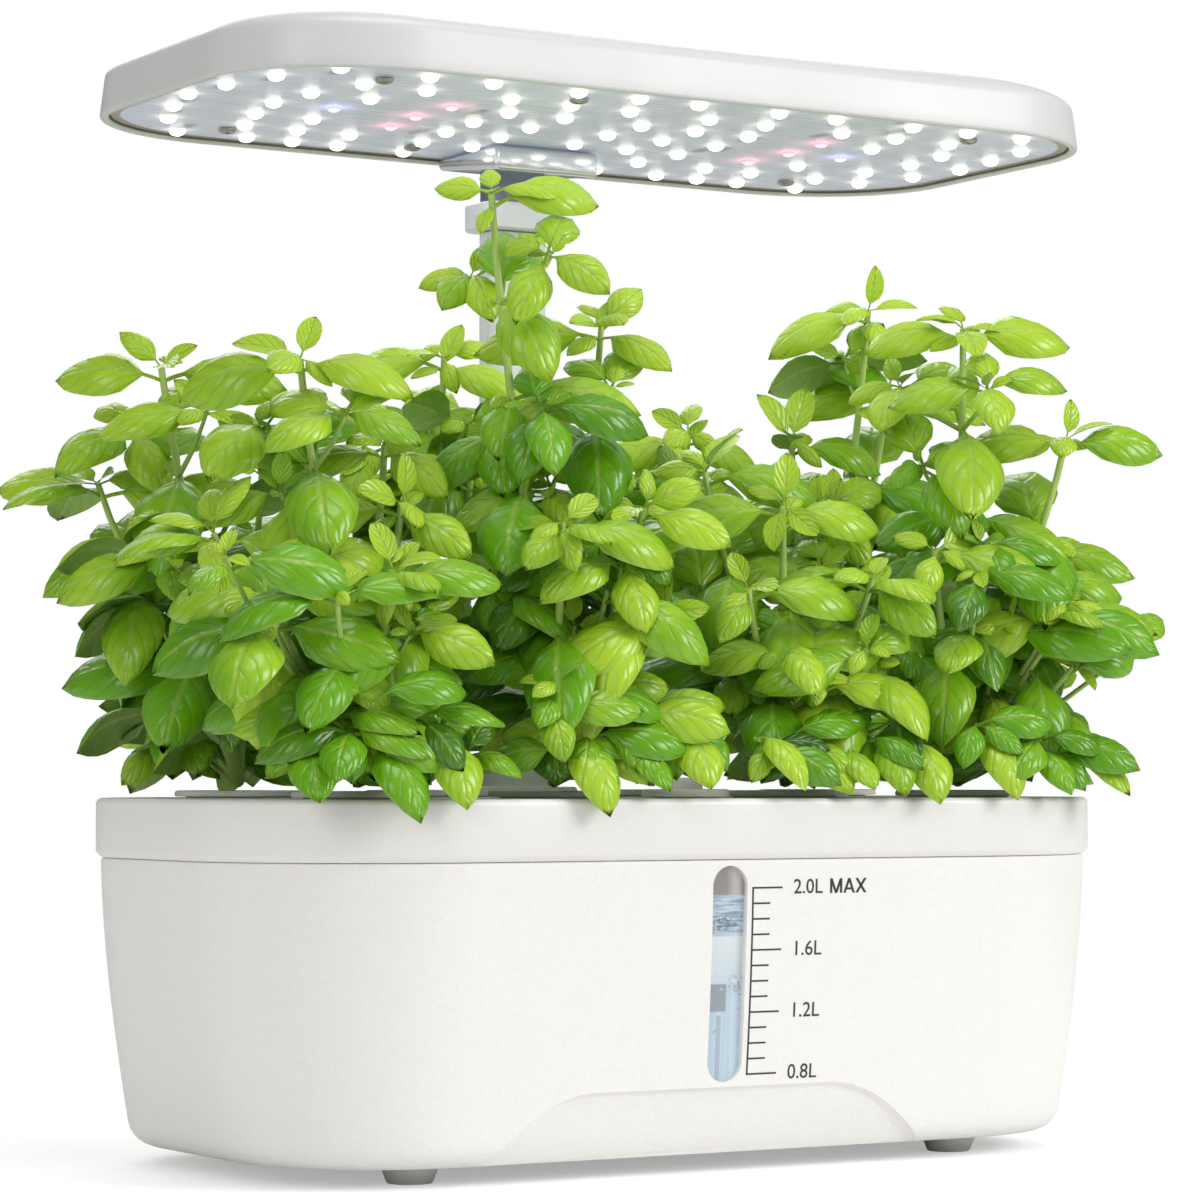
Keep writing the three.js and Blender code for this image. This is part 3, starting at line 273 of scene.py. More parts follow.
def outward(mesh):
    """Merges doubles and turns a closed mesh so that its faces point out."""
    work = bmesh.new()
    work.from_mesh(mesh)
    bmesh.ops.remove_doubles(work, verts=work.verts, dist=1e-6)
    if work.calc_volume(signed=True) < 0:
        bmesh.ops.reverse_faces(work, faces=work.faces)
    work.to_mesh(mesh)
    work.free()
    return mesh


def lathe(name, profile, centre=(0, 0), sides=48, closed=False):
    """A mesh turned about an upright axis. The profile holds (radius, height) pairs."""
    angles = np.linspace(0, 2 * math.pi, sides, endpoint=False)
    rings = []
    for radius, height in profile:
        around = np.stack([np.cos(angles) * radius, np.sin(angles) * radius], axis=1)
        rings.append(np.column_stack([around + centre, np.full(sides, height)]))
    return loft(name, rings, closed)


# %% Adding pieces and cutting holes
def shown(name, mesh):
    thing = bpy.data.objects.new(name, mesh)
    bpy.context.scene.collection.objects.link(thing)
    return thing


def evaluated(thing):
    """A new mesh of what the object shows, with its modifiers or its text worked out."""
    bpy.context.view_layer.update()
    graph = bpy.context.evaluated_depsgraph_get()
    return bpy.data.meshes.new_from_object(thing.evaluated_get(graph))


def applied(thing):
    """The object's modifiers turned into plain mesh."""
    mesh = evaluated(thing)
    thing.modifiers.clear()
    thing.data = mesh
    return thing


def marked(mesh, **values):
    """Keeps one number for each point of a mesh, under a name that a finish can read."""
    for label, numbers in values.items():
        mesh.attributes.new(label, "FLOAT", "POINT").data.foreach_set("value", numbers)
    return mesh


def cut(thing, *cutters):
    """Takes the cutters' volumes out of a closed mesh."""
    for mesh in cutters:
        tool = shown("cutter", mesh)
        knife = thing.modifiers.new("cut", "BOOLEAN")
        knife.operation = "DIFFERENCE"
        knife.solver = "EXACT"
        knife.object = tool
        applied(thing)
        bpy.data.objects.remove(tool)
    return thing


def rounded(thing, width, segments=3, angle=30):
    """Rounds the sharp edges of a mesh."""
    bevel = thing.modifiers.new("rounding", "BEVEL")
    bevel.width = width
    bevel.segments = segments
    bevel.limit_method = "ANGLE"
    bevel.angle_limit = math.radians(angle)
    bevel.harden_normals = False
    return applied(thing)


def dressed(thing, finish, body, nodes=(), sharp=32):
    """Gives a finished piece its material, smooth shading and body, and hides the construction nodes it
    stands for.
    """
    thing.data.materials.clear()
    thing.data.materials.append(finish.material)
    thing.data.shade_smooth()
    thing.data.set_sharp_from_angle(angle=math.radians(sharp))
    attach(thing, body)
    if nodes:
        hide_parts(*nodes)
    return thing


def coated(finish, *nodes):
    """Gives construction nodes a better material."""
    for node in nodes:
        thing = frame["nodes"][node]
        thing.data.materials.clear()
        thing.data.materials.append(finish.material)


# %% [markdown]
# ## Camera, floor and light
#
# The photograph is a long-lens product shot from the left, almost level with the tank. The camera
# repeats that view. The background is white because the world and the floor are white to the
# camera, and not because more light falls on the object.

# %% The camera
EYE = Vector((-556.2, -913.66, 101.22)) * MM
TURN_RIGHT = 0.54576
TILT_UP = 0.04463
LENS = 118.459
SENSOR_WIDTH = 36.0
NEAR_CLIP = 0.05

camera_data = bpy.data.cameras.new("camera")
camera_data.lens = LENS
camera_data.sensor_width = SENSOR_WIDTH
camera_data.clip_start = NEAR_CLIP
camera = bpy.data.objects.new("camera", camera_data)
camera.location = EYE
camera.rotation_euler = (math.pi / 2 + TILT_UP, 0, -TURN_RIGHT)
bpy.context.scene.collection.objects.link(camera)
bpy.context.scene.camera = camera
print("camera", tuple(round(x, 3) for x in EYE))

# %% The world and the floor
scene = bpy.context.scene
scene.view_settings.view_transform = "Standard"
SKY_LEVEL = 0.42
SKY_IN_MIRRORS = 0.4
FLOOR_RADIUS = 6.0
FLOOR_LIFT = 0.37
FLOOR_FADE = (0.3, 0.8)

world = bpy.data.worlds.new("studio")
scene.world = world
world.use_nodes = True
sky = world.node_tree
background = sky.nodes["Background"]
rays = sky.nodes.new("ShaderNodeLightPath")


def sky_sum(operation, first, second):
    node = sky.nodes.new("ShaderNodeMath")
    node.operation = operation
    sky.links.new(first, node.inputs[0])
    sky.links.new(second, node.inputs[1])
    return node.outputs[0]


seen = sky_sum("MAXIMUM", rays.outputs["Is Camera Ray"], rays.outputs["Is Transmission Ray"])
strength = sky.nodes.new("ShaderNodeMapRange")
sky.links.new(seen, strength.inputs["Value"])
strength.inputs["To Min"].default_value = SKY_LEVEL
strength.inputs["To Max"].default_value = 1.0
mirrored = sky.nodes.new("ShaderNodeMapRange")
sky.links.new(rays.outputs["Is Glossy Ray"], mirrored.inputs["Value"])
mirrored.inputs["To Min"].default_value = 1.0
mirrored.inputs["To Max"].default_value = SKY_IN_MIRRORS
sky_strength = sky_sum("MULTIPLY", strength.outputs[0], mirrored.outputs[0])
sky.links.new(sky_strength, background.inputs["Strength"])
background.inputs["Color"].default_value = (1.0, 1.0, 1.0, 1.0)

floor_finish = Finish("floor", base_color=(0.86, 0.86, 0.86), roughness=0.6)
floor_rays = floor_finish.add("LightPath")
floor_seen = Signal(floor_finish, floor_rays.outputs["Is Camera Ray"])
floor_finish.paint(Emission_Color=(1.0, 1.0, 1.0), Emission_Strength=floor_seen * FLOOR_LIFT)
floor_finish.paint(Specular_IOR_Level=0.0)
far_white = floor_finish.add("Emission", None, {"Strength": floor_seen * 0.5 + 0.5})
from_middle = {0: floor_finish.place()}
distance = floor_finish.output_of("VectorMath", "Value", {"operation": "LENGTH"}, from_middle)
floor_finish.blended(far_white, floor_finish.spread(distance, *FLOOR_FADE))
bpy.ops.mesh.primitive_circle_add(vertices=96, radius=FLOOR_RADIUS, fill_type="NGON")
floor = bpy.context.object
floor.name = "floor"
floor.data.materials.append(floor_finish.material)

# %% Studio lamps
LOOK_AT = Vector((0, 0, 150)) * MM


def softbox(name, place, size, power):
    data = bpy.data.lights.new(name, "AREA")
    data.shape = "RECTANGLE"
    data.size = size[0]
    data.size_y = size[1]
    data.energy = power
    lamp = bpy.data.objects.new(name, data)
    lamp.location = place
    lamp.rotation_euler = (LOOK_AT - Vector(place)).to_track_quat("-Z", "Y").to_euler()
    scene.collection.objects.link(lamp)
    return lamp


softbox("key", (1.1, -1.3, 0.9), (0.9, 0.8), 15.5)
softbox("left fill", (-1.5, -0.9, 0.9), (0.7, 1.0), 6.2)
softbox("back", (0.5, 1.5, 1.2), (1.4, 0.8), 9)
softbox("overhead", (0.1, -0.3, 1.6), (0.9, 0.7), 7.0)

# A weak lamp just under the shade stands for the light of the board on the leaves.
GROW_LIGHT = 0.06
GROW_SIZE = (0.23, 0.1)
grow_place = (0, 0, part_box("lamp_shade")[0].z - 1 * MM)
grow = softbox("grow light", grow_place, GROW_SIZE, GROW_LIGHT)
grow.rotation_euler = (0, 0, 0)
grow.visible_camera = grow.visible_glossy = grow.visible_transmission = False
print(len(bpy.data.lights), "lamps")

# %% [markdown]
# ## The tank
#
# The tank is moulded in off-white plastic with a fine grain. Its walls swell a little and draw in
# towards the foot, and a shallow arch is let into the foot of the front wall. The same rule for
# the wall's line gives the outer face, the inner face, the floor of the arch and, later, the
# place of the printed scale.

# %% Sizes of the tank
lid_low, lid_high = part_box("lid")
tank_low, tank_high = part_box("tank_shell")
LID_CORNER = (56.5 * MM, 49.8 * MM)
HALF_LID = (lid_high.x, lid_high.y)
TANK_BASE = tank_low.z
SHOULDER = lid_low.z
LID_TOP = lid_high.z
OVERHANG = lid_high.x - tank_high.x
END_TAPER = 9 * MM
SIDE_TAPER = 5.5 * MM
BARREL_MIDDLE_SHARE = 0.33
BOTTOM_FILLET = 6 * MM
TANK_WALL = 3 * MM
LID_WALL = 2.4 * MM
SEAT_GAP = 0.3 * MM
SLIDE_GAP = 0.4 * MM


def tank_inset(z, extra=0.0):
    """How far the tank's wall lies inside the lid's outline at a height, along X and Y."""
    drop = max(SHOULDER - z, 0) / (SHOULDER - TANK_BASE)
    share = drop ** (math.log(BARREL_MIDDLE_SHARE) / math.log(0.5))
    rise = min(max(z - TANK_BASE, 0), BOTTOM_FILLET)
    curve = BOTTOM_FILLET - math.sqrt(BOTTOM_FILLET**2 - (BOTTOM_FILLET - rise) ** 2)
    common = OVERHANG + curve + extra
    return common + END_TAPER * share, common + SIDE_TAPER * share


def inset_ring(z, inset_x, inset_y, steps=CORNER_STEPS):
    half = (HALF_LID[0] - inset_x, HALF_LID[1] - inset_y)
    corner = (LID_CORNER[0] - inset_x, LID_CORNER[1] - inset_y)
    return rounded_ring(half, corner, z, steps=steps)


def wall_y(z):
    """Where the front wall's outer face lies at a height."""
    return -(HALF_LID[1] - tank_inset(z)[1])


# %% The tank's shell
WALL_RINGS = 22
FILLET_RINGS = 6
SEAM = 0.08 * MM
SHOULDER_ROUND = ((0.6 * MM, 0.12 * MM), (0.28 * MM, 0.42 * MM), (SEAM, 0.95 * MM))
WALL_TOP = SHOULDER - 1.1 * MM


def tank_heights():
    turns = quarter_turns(FILLET_RINGS)[:-1]
    fillet = [TANK_BASE + BOTTOM_FILLET * (1 - math.cos(turn)) for turn in turns]
    wall = np.linspace(TANK_BASE + BOTTOM_FILLET, WALL_TOP, WALL_RINGS)
    return [*fillet, *wall]


neck_inset = LID_WALL + SLIDE_GAP
floor_top = TANK_BASE + TANK_WALL
outer = [inset_ring(z, *tank_inset(z)) for z in tank_heights()]
for drop, inset in SHOULDER_ROUND:
    outer.append(inset_ring(SHOULDER - drop, *tank_inset(SHOULDER, inset)))
neck = [inset_ring(z, neck_inset, neck_inset) for z in (SHOULDER - SEAM, tank_high.z)]
inner_heights = [z for z in tank_heights() if z > floor_top][::-1]
inner_top = inset_ring(tank_high.z, *tank_inset(SHOULDER, TANK_WALL))
inner = [inset_ring(z, *tank_inset(z, TANK_WALL)) for z in [*inner_heights, floor_top]]
tank = shown("tank_body", loft("tank_body", outer + neck + [inner_top] + inner))
print("tank", len(tank.data.polygons), "faces")

# %% The slot for the sight window
window_low, window_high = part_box("sight_window")
FLANGE_MARGIN = 2.8 * MM
WINDOW_CENTRE = (window_low.x + window_high.x) / 2
WINDOW_HALF = (window_high.x - window_low.x) / 2 - FLANGE_MARGIN
WINDOW_LOW = window_low.z + FLANGE_MARGIN - 0.9 * MM
WINDOW_HIGH = window_high.z - FLANGE_MARGIN + 1.4 * MM


def stadium(name, half, low, high, front, back, steps=20):
    """An upright slot shape with round ends, as a prism from front to back."""
    outline = []
    for centre, start in ((high - half, 0.0), (low + half, math.pi)):
        for step in range(steps + 1):
            angle = start + step / steps * math.pi
            x = WINDOW_CENTRE + half * math.cos(angle)
            outline.append((x, centre + half * math.sin(angle)))
    rings = [np.array([(x, y, z) for x, z in outline]) for y in (front, back)]
    return loft(name, rings)


CUT_MARGIN = 5 * MM
SLOT_BACK = -0.03
outside_y = -(HALF_LID[1] + CUT_MARGIN)
slot_prism = stadium("slot", WINDOW_HALF, WINDOW_LOW, WINDOW_HIGH, outside_y, SLOT_BACK)
cut(tank, slot_prism)

# %% The arch let into the foot of the front wall
ARCH_CENTRE = -8 * MM
ARCH_FOOT_HALF = 66.5 * MM
ARCH_TOP_HALF = 48.5 * MM
ARCH_HEIGHT = 17.4 * MM
ARCH_SHOULDER = 13 * MM
ARCH_BEVEL = 1.3 * MM
ARCH_DEPTH = 1.5 * MM
ARCH_STEPS = 14
ARCH_BEVEL_STEPS = 4


def arch_line(shrink):
    """The arch's outline in X and Z, from its right foot over the top to its left foot."""
    foot = ARCH_FOOT_HALF - shrink
    top = ARCH_TOP_HALF - shrink
    low = TANK_BASE - 3 * MM
    high = TANK_BASE + ARCH_HEIGHT - shrink
    slope = (ARCH_FOOT_HALF - ARCH_TOP_HALF) / ARCH_HEIGHT
    start = np.array((top + slope * ARCH_SHOULDER, high - ARCH_SHOULDER))
    bend = np.array((top, high))
    end = np.array((top - ARCH_SHOULDER, high))
    shares = np.linspace(0, 1, ARCH_STEPS)
    curve = [(1 - t) ** 2 * start + 2 * t * (1 - t) * bend + t**2 * end for t in shares]
    right = [np.array((foot + slope * 3 * MM, low)), *curve]
    left = [np.array((-p[0], p[1])) for p in right][::-1]
    return [(p[0] + ARCH_CENTRE, p[1]) for p in right + left]


rings = [np.array([(x, outside_y, z) for x, z in arch_line(0)])]
for turn in quarter_turns(ARCH_BEVEL_STEPS):
    shrink = ARCH_BEVEL * (1 - math.cos(turn))
    depth = ARCH_DEPTH * math.sin(turn)
    line = [(x, wall_y(max(z, TANK_BASE)) + depth, z) for x, z in arch_line(shrink)]
    rings.append(np.array(line))
cut(tank, loft("arch", rings))

# %% [markdown]
# The plastic's finish is nearly all in its grain: two sizes of noise in the height, and a very
# slight change of tone, because light catches the grain unevenly. The lid comes out of a more
# polished mould, so it has the same colour with almost no grain.

# %% Moulded plastic
WARM_WHITE = srgb(251, 249, 244)
GRAIN_SHADE = 0.955
BROAD_NOISE = 28.0


def moulded(name, colour, grain, roughness, coarse=900.0):
    finish = Finish(name)
    fine = finish.noise(coarse, 3.0, 0.6)
    broad = finish.noise(BROAD_NOISE, 2.0)
    shade = finish.spread(fine, 0.35, 0.65) * 0.6 + broad * 0.4
    darker = tuple(value * GRAIN_SHADE for value in colour)
    finish.tones(shade, darker, colour)
    finish.paint(Roughness=finish.spread(broad, 0.3, 0.7, roughness - 0.04, roughness + 0.04))
    finish.bump(fine, grain)
    return finish


tank_finish = moulded("grained tank plastic", WARM_WHITE, 0.10 * MM, 0.52, 950.0)
lid_finish = moulded("smooth lid plastic", srgb(246, 244, 240), 0.012 * MM, 0.36, 1400.0)
dressed(tank, tank_finish, "tank", ["tank_shell"], sharp=24)

# %% [markdown]
# ## The lid
#
# The lid is a separate moulding that laps over the tank, with a shadow gap between the two. Holes
# in its deck take the pods, the filling port and the mast.

# %% The lid's shell
LOWER_CHAMFER = 1.3 * MM
UPPER_ROUND = 1.6 * MM
DECK_THICKNESS = 3 * MM
underside = LID_TOP - DECK_THICKNESS
low_edge = [
    inset_ring(underside, LID_WALL, LID_WALL),
    inset_ring(SHOULDER, LID_WALL, LID_WALL),
    inset_ring(SHOULDER, LOWER_CHAMFER + 0.1 * MM, LOWER_CHAMFER + 0.1 * MM),
    inset_ring(SHOULDER + 0.25 * MM, LOWER_CHAMFER - 0.2 * MM, LOWER_CHAMFER - 0.2 * MM),
    inset_ring(SHOULDER + LOWER_CHAMFER, 0.15 * MM, 0.15 * MM),
    inset_ring(SHOULDER + LOWER_CHAMFER + 0.4 * MM, 0, 0),
]
UPPER_ROUND_STEPS = 6
top_edge = []
for turn in quarter_turns(UPPER_ROUND_STEPS):
    inset = UPPER_ROUND * (1 - math.cos(turn))
    top_edge.append(inset_ring(LID_TOP - UPPER_ROUND * (1 - math.sin(turn)), inset, inset))
lid = shown("lid_deck", loft("lid_deck", low_edge + top_edge))

# %% Holes in the deck
POD_COLUMNS = (-93 * MM, -36 * MM, 36 * MM, 93 * MM)
POD_ROWS = (-34 * MM, 34 * MM)
POD_HOLE = 14.4 * MM
PORT_Y = -41 * MM
PORT_RADIUS = 9 * MM
PORT_WALL = 1.6 * MM
PORT_DEPTH = 12 * MM
MAST_Y = 50 * MM
MAST_HALF = (9.25 * MM, 5.5 * MM)
MAST_CORNER = (4 * MM, 4 * MM)
pods = [(x, y) for y in POD_ROWS for x in POD_COLUMNS]


def mast_ring(grow, z):
    return drawn_in(MAST_HALF, MAST_CORNER, -grow, z, (0, MAST_Y))


DRILL_MARGIN = 2 * MM
MAST_HOLE_GAP = 3.2 * MM
hole_span = (underside - DRILL_MARGIN, LID_TOP + DRILL_MARGIN)
drills = [lathe("drill", [(POD_HOLE, z) for z in hole_span], place) for place in pods]
drills.append(lathe("drill", [(PORT_RADIUS, z) for z in hole_span], (0, PORT_Y)))
drills.append(loft("drill", [mast_ring(MAST_HOLE_GAP, z) for z in hole_span]))
cut(lid, *drills)
port_low = underside - PORT_DEPTH
port_outside = PORT_RADIUS + PORT_WALL
port_rings = [(PORT_RADIUS, underside), (PORT_RADIUS, port_low)]
port_rings += [(port_outside, port_low), (port_outside, underside)]
dressed(lid, lid_finish, "lid", ["lid"])
port = lathe("filling_neck", port_rings, (0, PORT_Y), closed=True)
dressed(shown("filling_neck", port), lid_finish, "lid", ())
print("lid", len(lid.data.polygons), "faces")

# %% [markdown]
# ## The sight window
#
# A narrow clear pane shows the water level. The real one is a lens that is pushed through the wall
# from inside, on a rubber seal. Here a thin glossy pane fills the slot, and just behind it stands
# what one sees through it: a dry zone on top, the rippled surface, and pale blue water with the
# corner of the pump and some bubbles. That view is painted by sums on the height.

# %% Pane and seal
PANE_SETBACK = 0.25 * MM
PANE_GAP = 0.12 * MM
PANE_THICKNESS = 0.9 * MM
VIEW_DEPTH = 1.3 * MM


def wall_panel(name, half, low, high, depth, thickness):
    """A stadium-shaped plate that follows the front wall's taper, some depth behind its face."""
    rings = []
    for y in (0.0, thickness):
        prism = stadium(name, half, low, high, 0.0, 1.0)
        ring = np.array([v.co for v in prism.vertices])[: len(prism.vertices) // 2]
        ring[:, 1] = [wall_y(z) + depth + y for z in ring[:, 2]]
        rings.append(ring)
        bpy.data.meshes.remove(prism)
    return loft(name, rings)


pane_half = WINDOW_HALF - PANE_GAP
pane_span = (WINDOW_LOW + PANE_GAP, WINDOW_HIGH - PANE_GAP)
pane_mesh = wall_panel("window_pane", pane_half, *pane_span, PANE_SETBACK, PANE_THICKNESS)
pane = rounded(shown("window_pane", pane_mesh), 0.25 * MM, 2)
clear_finish = Finish("clear window plastic", base_color=(0.92, 0.96, 1.0), roughness=0.06)
clear_finish.paint(Alpha=0.07)
dressed(pane, clear_finish, "tank", ["sight_window"])

rubber_finish = Finish("black seal rubber", roughness=0.7)
seal_noise = rubber_finish.noise(400.0, 3.0)
rubber_finish.tones(seal_noise, (0.012, 0.012, 0.013), (0.03, 0.03, 0.032))
rubber_finish.bump(seal_noise, 0.03 * MM)
coated(rubber_finish, "window_gasket", "mode_switch")

# %% The water seen through the pane
water = Finish("water behind the window", roughness=0.18)
spot = water.place()
split = water.add("SeparateXYZ", None, {0: spot})
across = Signal(water, split.outputs["X"])
height = Signal(water, split.outputs["Z"])


def zone(low, high, soft=0.25 * MM):
    """One between two heights and nothing outside them, with soft ends."""
    rise = water.spread(height, low - soft, low + soft)
    fall = water.spread(height, high - soft, high + soft)
    return rise * (1.0 - fall)


bands = water.noise(1.0, 2.0, 0.5, water.stretched((700.0, 300.0, 12.0)))
ripple = water.noise(1.0, 5.0, 0.7, water.stretched((110.0, 100.0, 1500.0)))
swirl = water.noise(1.0, 5.0, 0.65, water.stretched((330.0, 300.0, 620.0)))
bubble = water.noise(1.0, 3.0, 0.7, water.stretched((520.0, 400.0, 700.0)))
SURFACE_TOP = 71.0 * MM
SURFACE_LOW = 60.6 * MM
PALE_LOW = 48.4 * MM
PUMP_LOW = 41.4 * MM
SWIRL_SHARPNESS = 22.0
FOAM_SHARPNESS = 26.0

stripe_end = 1.0 - water.spread(across, -2.2 * MM, -0.8 * MM)
stripe = water.spread(across, -6.5 * MM, -3.2 * MM) * stripe_end
dry = water.mixed((bands * 0.5 + stripe * 0.7).clipped(), srgb(116, 108, 104), srgb(188, 180, 174))
wet = water.mixed(water.spread(ripple, 0.36, 0.6), srgb(96, 132, 168), srgb(204, 218, 228))
swirl_line = 1.0 - ((swirl - 0.5).size() * SWIRL_SHARPNESS).clipped()
dark_swirl = swirl_line * zone(61.8 * MM, 65.8 * MM, 0.7 * MM)
wet = water.mixed(dark_swirl, wet, srgb(44, 66, 98))
pale = water.mixed(water.spread(height, PALE_LOW, SURFACE_LOW), srgb(206, 222, 230), srgb(226, 234, 236))
low_blue = water.mixed(water.spread(bands, 0.3, 0.75), srgb(184, 208, 226), srgb(206, 224, 238))
pump_edge = 1.0 - water.spread(across, -5.2 * MM, -4.9 * MM)
# Painted shade: a darker band below the pump.
corner_shade = water.spread(across, -8.0 * MM, -7.6 * MM) * (across < -6.4 * MM)
foam = 1.0 - ((bubble - 0.5).size() * FOAM_SHARPNESS).clipped()
foam_side = water.spread(across, -5.5 * MM, -3.0 * MM)
# Painted highlights: bright glints on the bubbles.
glint = water.spread(bubble, 0.64, 0.7) * zone(26 * MM, 54 * MM, 4 * MM)
fleck = (1.0 - water.spread(bubble, 0.3, 0.36)) * zone(30 * MM, 50 * MM, 5 * MM)

# Each layer is laid over the ones before it, where its share says.
layers = (
    (zone(PALE_LOW, SURFACE_LOW), pale),
    (zone(SURFACE_LOW, SURFACE_TOP), wet),
    (zone(SURFACE_TOP, 1.0), dry),
    (zone(PUMP_LOW, PALE_LOW) * pump_edge * 0.95, srgb(140, 150, 158)),
    (zone(0.0, PUMP_LOW - 1 * MM) * corner_shade * 0.6, srgb(134, 156, 176)),
    (foam * foam_side * zone(46 * MM, 50.5 * MM, 0.8 * MM) * 0.8, srgb(70, 84, 96)),
    (glint * 0.75, srgb(240, 246, 248)),
    (fleck * 0.7, srgb(70, 88, 100)),
)
picture = low_blue
for share, colour in layers:
    picture = water.mixed(share, picture, colour)
water.paint(Base_Color=picture)

VIEW_GAP = 0.03 * MM
VIEW_THICKNESS = 0.8 * MM
view_half = WINDOW_HALF - VIEW_GAP
view_span = (WINDOW_LOW + VIEW_GAP, WINDOW_HIGH - VIEW_GAP)
view_mesh = wall_panel("water_in_window", view_half, *view_span, VIEW_DEPTH, VIEW_THICKNESS)
dressed(shown("water_in_window", view_mesh), water, "tank", ())
print("window", [round(v / MM, 1) for v in (WINDOW_LOW, WINDOW_HIGH)], "mm high")

# %% [markdown]
# ## The printed scale
#
# Level marks are printed beside the window: a spine, thirteen ticks, and a figure at every fourth
# tick. Ink has next to no thickness, so each mark is a very thin plate that follows the wall. Text
# objects give the figures their outlines; they become meshes, and then each point of them is set
# against the wall.

# %% Ticks and figures
INK_PROUD = 0.06 * MM
INK_SUNK = 0.12 * MM
SPINE_X = 1.2 * MM
SPINE_WIDTH = 0.5 * MM
MARK_TOP = 72.8 * MM
MARK_STEP = 3.96 * MM
MARKS_PER_FIGURE = 4
LONG_TICK = 9.0 * MM
SHORT_TICK = 5.3 * MM
FIGURE_X = 13.6 * MM
FIGURE_HEIGHT = 5.35 * MM
FIGURES = ("2.0L", "1.6L", "1.2L", "0.8L")

ink_finish = Finish("printed grey ink", roughness=0.45)
ink_grain = ink_finish.noise(900.0, 2.0)
ink_finish.tones(ink_grain, srgb(50, 50, 52), srgb(64, 64, 66))


def against_wall(mesh):
    """Sets a drawing made in X and Z, with its face at Y = 0, on the front wall."""
    for vertex in mesh.vertices:
        vertex.co.y += wall_y(vertex.co.z)
    return mesh


def plate(name, rows):
    """A thin plate of ink through rows of (low x, high x, z)."""
    rings = []
    for low, high, z in rows:
        corners = ((low, -INK_PROUD), (high, -INK_PROUD), (high, INK_SUNK), (low, INK_SUNK))
        rings.append(np.array([(x, y, z) for x, y in corners]))
    return loft(name, rings)


TALL_BAR = 10 * MM
TALL_BAR_ROWS = 12


def bar(low_x, high_x, low_z, high_z):
    """An upright rectangle of ink, with enough rows to follow the wall where it is tall."""
    heights = np.linspace(low_z, high_z, TALL_BAR_ROWS if high_z - low_z > TALL_BAR else 2)
    return plate("bar", [(low_x, high_x, z) for z in heights])


def merged(name, meshes):
    """One mesh from several."""
    work = bmesh.new()
    for mesh in meshes:
        work.from_mesh(mesh)
    whole = bpy.data.meshes.new(name)
    work.to_mesh(whole)
    work.free()
    return whole


half_line = SPINE_WIDTH / 2
mark_count = MARKS_PER_FIGURE * (len(FIGURES) - 1) + 1
mark_bottom = MARK_TOP - (mark_count - 1) * MARK_STEP
bars = [bar(SPINE_X - half_line, SPINE_X + half_line, mark_bottom - half_line, MARK_TOP + half_line)]
TICK_SHARE = 0.9
half_tick = half_line * TICK_SHARE
for mark in range(mark_count):
    z = MARK_TOP - mark * MARK_STEP
    reach = LONG_TICK if mark % MARKS_PER_FIGURE == 0 else SHORT_TICK
    bars.append(bar(SPINE_X, SPINE_X + reach, z - half_tick, z + half_tick))
ticks = shown("scale_ticks", against_wall(merged("scale_ticks", bars)))
dressed(ticks, ink_finish, "tank", ())
INK_SPREAD = 0.02 * MM


def printed(name, text, x, z):
    """A word in ink on the front wall, its left end at x and its middle at z."""
    curve = bpy.data.curves.new(name, "FONT")
    curve.body = text
    curve.size = FIGURE_HEIGHT
    curve.align_y = "CENTER"
    curve.offset = INK_SPREAD
    curve.resolution_u = 4
    curve.extrude = (INK_PROUD + INK_SUNK) / 2
    writing = shown(name, curve)
    mesh = evaluated(writing)
    bpy.data.objects.remove(writing)
    word = shown(name, mesh)
    for vertex in word.data.vertices:
        across, up, out = vertex.co
        vertex.co = (x + across, INK_SUNK / 2 - INK_PROUD / 2 - out, z + up)
    against_wall(word.data)
    outward(word.data)
    dressed(word, ink_finish, "tank", ())


for row, figure in enumerate(FIGURES):
    z = MARK_TOP - row * MARKS_PER_FIGURE * MARK_STEP
    printed("scale_figure_" + str(row + 1), figure, FIGURE_X, z)

# MAX is bolder than the figures. Its letters are all straight strokes, given here as shares of the
# letters' height from the lower left corner of each, with the width that the letter takes up.
LETTER_MIDDLE = 0.46
LETTERS = (
    (1.12, (((0.09, 0), (0.09, 1)), ((0.91, 0), (0.91, 1)), ((0.5, 0), (0.1, 1)), ((0.5, 0), (0.9, 1)))),
    (1.0, (((0.08, 0), (0.46, 1)), ((0.84, 0), (0.46, 1)), ((0.46, 0.22), (0.46, 0.36)))),
    (0.9, (((0.08, 0), (0.8, 1)), ((0.8, 0), (0.08, 1)))),
)
STROKE_HALF = 0.09
CROSSBAR_HALF = 0.28
WORD_GAP = 2.3 * MM
first = [v.co for v in bpy.data.objects["scale_figure_1"].data.vertices]
word_x = max(co.x for co in first) + WORD_GAP
word_z = min(co.z for co in first)
tall = max(co.z for co in first) - word_z
strokes = []
for width, lines in LETTERS:
    for foot, top in lines:
        slant = math.hypot(1, (top[0] - foot[0]) / (top[1] - foot[1]))
        crossbar = foot[0] == top[0] == LETTER_MIDDLE
        half = CROSSBAR_HALF if crossbar else STROKE_HALF * slant
        ends = [(word_x + x * tall, word_z + z * tall) for x, z in (foot, top)]
        strokes.append(plate("stroke", [(x - half * tall, x + half * tall, z) for x, z in ends]))
    word_x += width * tall
word = shown("scale_word_max", against_wall(merged("scale_word_max", strokes)))
dressed(word, ink_finish, "tank", ())
print(len(bars), "bars and", len(FIGURES) + 1, "words of ink")

# %% [markdown]
# ## Feet, pump and the parts inside
#
# The feet are turned rubber cones. The pump and its parts stand inside the tank, where they show
# only when the lid is off, so their construction solids stay and get finishes of their own.

# %% Feet
foot_finish = Finish("grey foot rubber", roughness=0.75)
foot_grain = foot_finish.noise(600.0, 3.0)
foot_finish.tones(foot_grain, srgb(214, 213, 210), srgb(228, 227, 224))
foot_finish.bump(foot_grain, 0.04 * MM)
FOOT_SHARE = (0.80, 0.92, 1.0)
FOOT_PEG = 2 * MM

